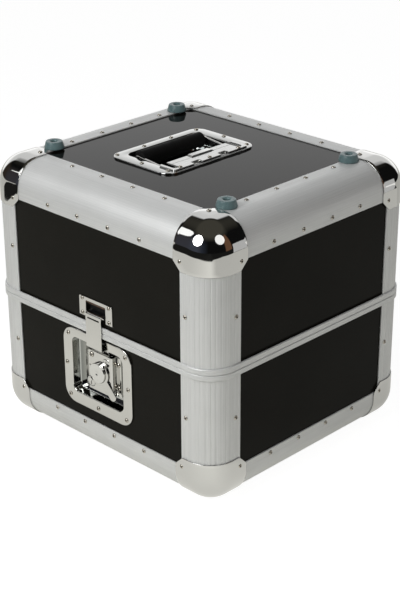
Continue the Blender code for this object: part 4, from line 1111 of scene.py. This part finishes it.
studio = {
    # lamps aim at the near upper corner of the case; the ones with "tall" show only in mirrors
    "target": (0.1565, -0.1425, 0.3183),
    "lamps": {
        "lampOne": {"aim": (-0.13, -0.81, 0.57), "away": 1.10, "size": 0.695, "power": 8.6},
        "lampTwo": {"aim": (0.76, -0.03, 0.65), "away": 1.10, "size": 0.639, "power": 1.35},
        "windowPane": {"aim": (-0.695, -0.487, 0.530), "away": 1.5, "size": 0.38, "tall": 0.50, "power": 0.9},
        "paleCard": {"aim": (0.670, 0.742, -0.030), "away": 1.3, "size": 0.48, "tall": 0.50, "power": 0.46},
    },
    "lens": 89.574, "camera": (1.22453, -1.24185, 0.95141), "cameraTurn": (1.1435561, 0.0046400, 0.7764274),
    "floorSize": 14.0, "floorSeen": 0.34, "floorGlow": 0.88, "floorLit": (0.62, 0.61, 0.55, 1),
    "floorMirrorGlow": (1.0, 0.99, 0.935, 1),
    "nearSide": (0.70, 0.71, -0.30),       # the pale sheet begins where 0.70 x - 0.71 y = -0.30
    "diagonal": 0.707,
    "sheetEnd": (1.02, 1.05, 1.0, 0.020), "sheetReach": (0.10, 1.20, 0.0, 0.35),
    # what mirrors see of the floor, painted light and shade: start, stop, first and last share of its light
    "left": (-0.75, -0.05, 0.74, 0.97), "right": (0.03, 0.26, 1.0, 0.66), "foot": (0.24, 0.40, 0.84, 1.0),
}
# the room that mirrors see, in degrees: bearing, half width and soft edge, then the same for the height
room = {
    "backdrop": (135, 44, 6, 8, 32, 3), "wood": (22, 11, 3, 18, 24, 6), "haze": (-105, 12, 40, 12, 10, 25),
    "wall": (-135, 45, 15, 5, 20, 10), "fade": (12, 24, 1.3, 0.82), "ceiling": (38, 56), "hazeShare": 0.6,
    "dark": (0.006, 0.006, 0.006), "ceilingColour": (0.064, 0.060, 0.048),
    "wallColour": (0.034, 0.026, 0.020), "hazeColour": (0.070, 0.085, 0.125),
    "woodColour": (0.155, 0.080, 0.045),
    "soft": 0.295,               # even light on everything that isn't a mirror
}


def floorMaterial():
    # plain pale floor: white to the camera apart from the shadow, lit for soft light; to mirrors it glows
    # with painted light and shade, brightest in front of the case, dimmer to the sides and near it, ending
    # about a metre away
    material = bpy.data.materials.new("stage_floor")
    material.use_nodes = True
    material.node_tree.nodes.clear()
    n = Nodes(material.node_tree)
    x, y, _ = n.axes(n.add('ShaderNodeTexCoord').outputs['Object'])
    white = n.get('ShaderNodeBsdfDiffuse', {'Color': (*[studio["floorSeen"]] * 3, 1)})
    glow = n.get('ShaderNodeEmission', {'Color': (1, 1, 1, 1), 'Strength': studio["floorGlow"]})
    lit = n.get('ShaderNodeBsdfDiffuse', {'Color': studio["floorLit"]})
    shareX, shareY, start = studio["nearSide"]
    near = n.math('SUBTRACT', n.times(x, shareX), n.times(y, shareY))
    away = n.math('SQRT', n.plus(n.times(x, x), n.times(y, y)))
    away = n.times(away, n.math('GREATER_THAN', near, start))
    reach = n.span(n.plus(x, y), *studio["sheetReach"])
    sheet = n.span(n.math('SUBTRACT', away, reach), *studio["sheetEnd"])
    across = n.times(n.plus(x, y), studio["diagonal"])
    tint = n.times(sheet, *[n.span(value, *studio[key])
                            for value, key in ((across, "left"), (across, "right"), (away, "foot"))])
    # painted light and shade: an emission whose strength falls off to the sides and close to the case
    paintedFloorGlow = n.get('ShaderNodeEmission', {'Color': studio["floorMirrorGlow"], 'Strength': tint})
    seen = n.get('ShaderNodeAddShader', {0: white, 1: glow})
    n.add('ShaderNodeOutputMaterial', {'Surface': n.byRay(lit, paintedFloorGlow, seen)})
    return material


def makeFloor():
    size = studio["floorSize"]
    mesh = newMesh("stageFloor", [(-size, -size, 0), (size, -size, 0), (size, size, 0), (-size, size, 0)],
                   [(0, 1, 2, 3)])
    mesh.materials.append(floorMaterial())
    floor = bpy.data.objects.new("stageFloor", mesh)
    scene.collection.objects.link(floor)


def makeWorld():
    # white to the camera, an even grey for soft light, and a dim room with pale walls for what mirrors it
    world = bpy.data.worlds.new("studio")
    scene.world = world
    world.use_nodes = True
    world.node_tree.nodes.clear()
    n = Nodes(world.node_tree)
    x, y, z = n.axes(n.add('ShaderNodeTexCoord').outputs['Generated'])
    tilt = n.math('ARCSINE', z)

    def strip(value, centre, half, soft):
        # 1 inside centre +- half, falling to 0 over soft
        away = n.math('ABSOLUTE', n.math('SUBTRACT', value, math.radians(centre)))
        return n.span(away, math.radians(half), math.radians(half + soft), 1.0, 0.0)

    def patch(bearing, half, soft, height, tall, tallSoft):
        # the angle round is measured from the bearing, so that it never jumps there
        c, s = math.cos(math.radians(bearing)), math.sin(math.radians(bearing))
        ahead = n.plus(n.times(x, c), n.times(y, s))
        turned = n.math('ARCTAN2', n.math('SUBTRACT', n.times(y, c), n.times(x, s)), ahead)
        return n.times(strip(turned, 0, half, soft), strip(tilt, height, tall, tallSoft))

    start, stop, first, last = room["fade"]
    fade = n.span(tilt, math.radians(start), math.radians(stop), first, last)
    backdrop = n.times(patch(*room["backdrop"]), fade)
    ceiling = n.span(tilt, *np.radians(room["ceiling"]).tolist(), 0.0, 1.0)
    colour = n.mixColour(ceiling, room["dark"], room["ceilingColour"])
    colour = n.mixColour(patch(*room["wall"]), colour, room["wallColour"])
    colour = n.mixColour(n.times(patch(*room["haze"]), room["hazeShare"]), colour, room["hazeColour"])
    colour = n.mixColour(patch(*room["wood"]), colour, room["woodColour"])
    colour = n.mixColour(n.math('MINIMUM', backdrop, 1.0), colour, (1, 1, 1))
    light = lambda tint, strength: n.get('ShaderNodeBackground', {'Color': tint, 'Strength': strength})
    mirrored = light(colour, n.math('MAXIMUM', backdrop, 1.0))
    n.add('ShaderNodeOutputWorld', {'Surface': n.byRay(light((1, 1, 1, 1), room["soft"]), mirrored,
                                                       light((1, 1, 1, 1), 1.0))})


def makeLamp(name, settings):
    # soft disc, or a pane that only mirrors show
    aim = np.array(settings["aim"])
    aim = aim / np.linalg.norm(aim)
    data = bpy.data.lights.new(name, 'AREA')
    data.shape = 'RECTANGLE' if "tall" in settings else 'DISK'
    data.size = settings["size"]
    data.energy = settings["power"]
    if "tall" in settings:
        data.size_y = settings["tall"]
    lamp = bpy.data.objects.new(name, data)
    lamp.location = (studio["target"] + settings["away"] * aim).tolist()
    lamp.rotation_euler = Vector(aim.tolist()).to_track_quat('Z', 'Y').to_euler()
    lamp.visible_camera = False
    lamp.visible_diffuse = "tall" not in settings
    scene.collection.objects.link(lamp)


def makeCamera():
    data = bpy.data.cameras.new("camera")
    data.sensor_width = 36.0
    data.lens = studio["lens"]
    data.clip_start = 0.05
    camera = bpy.data.objects.new("camera", data)
    camera.location = studio["camera"]
    camera.rotation_euler = studio["cameraTurn"]
    scene.collection.objects.link(camera)
    scene.camera = camera


makeFloor()
makeWorld()
for name, settings in studio["lamps"].items():
    makeLamp(name, settings)
makeCamera()
print("stage made")
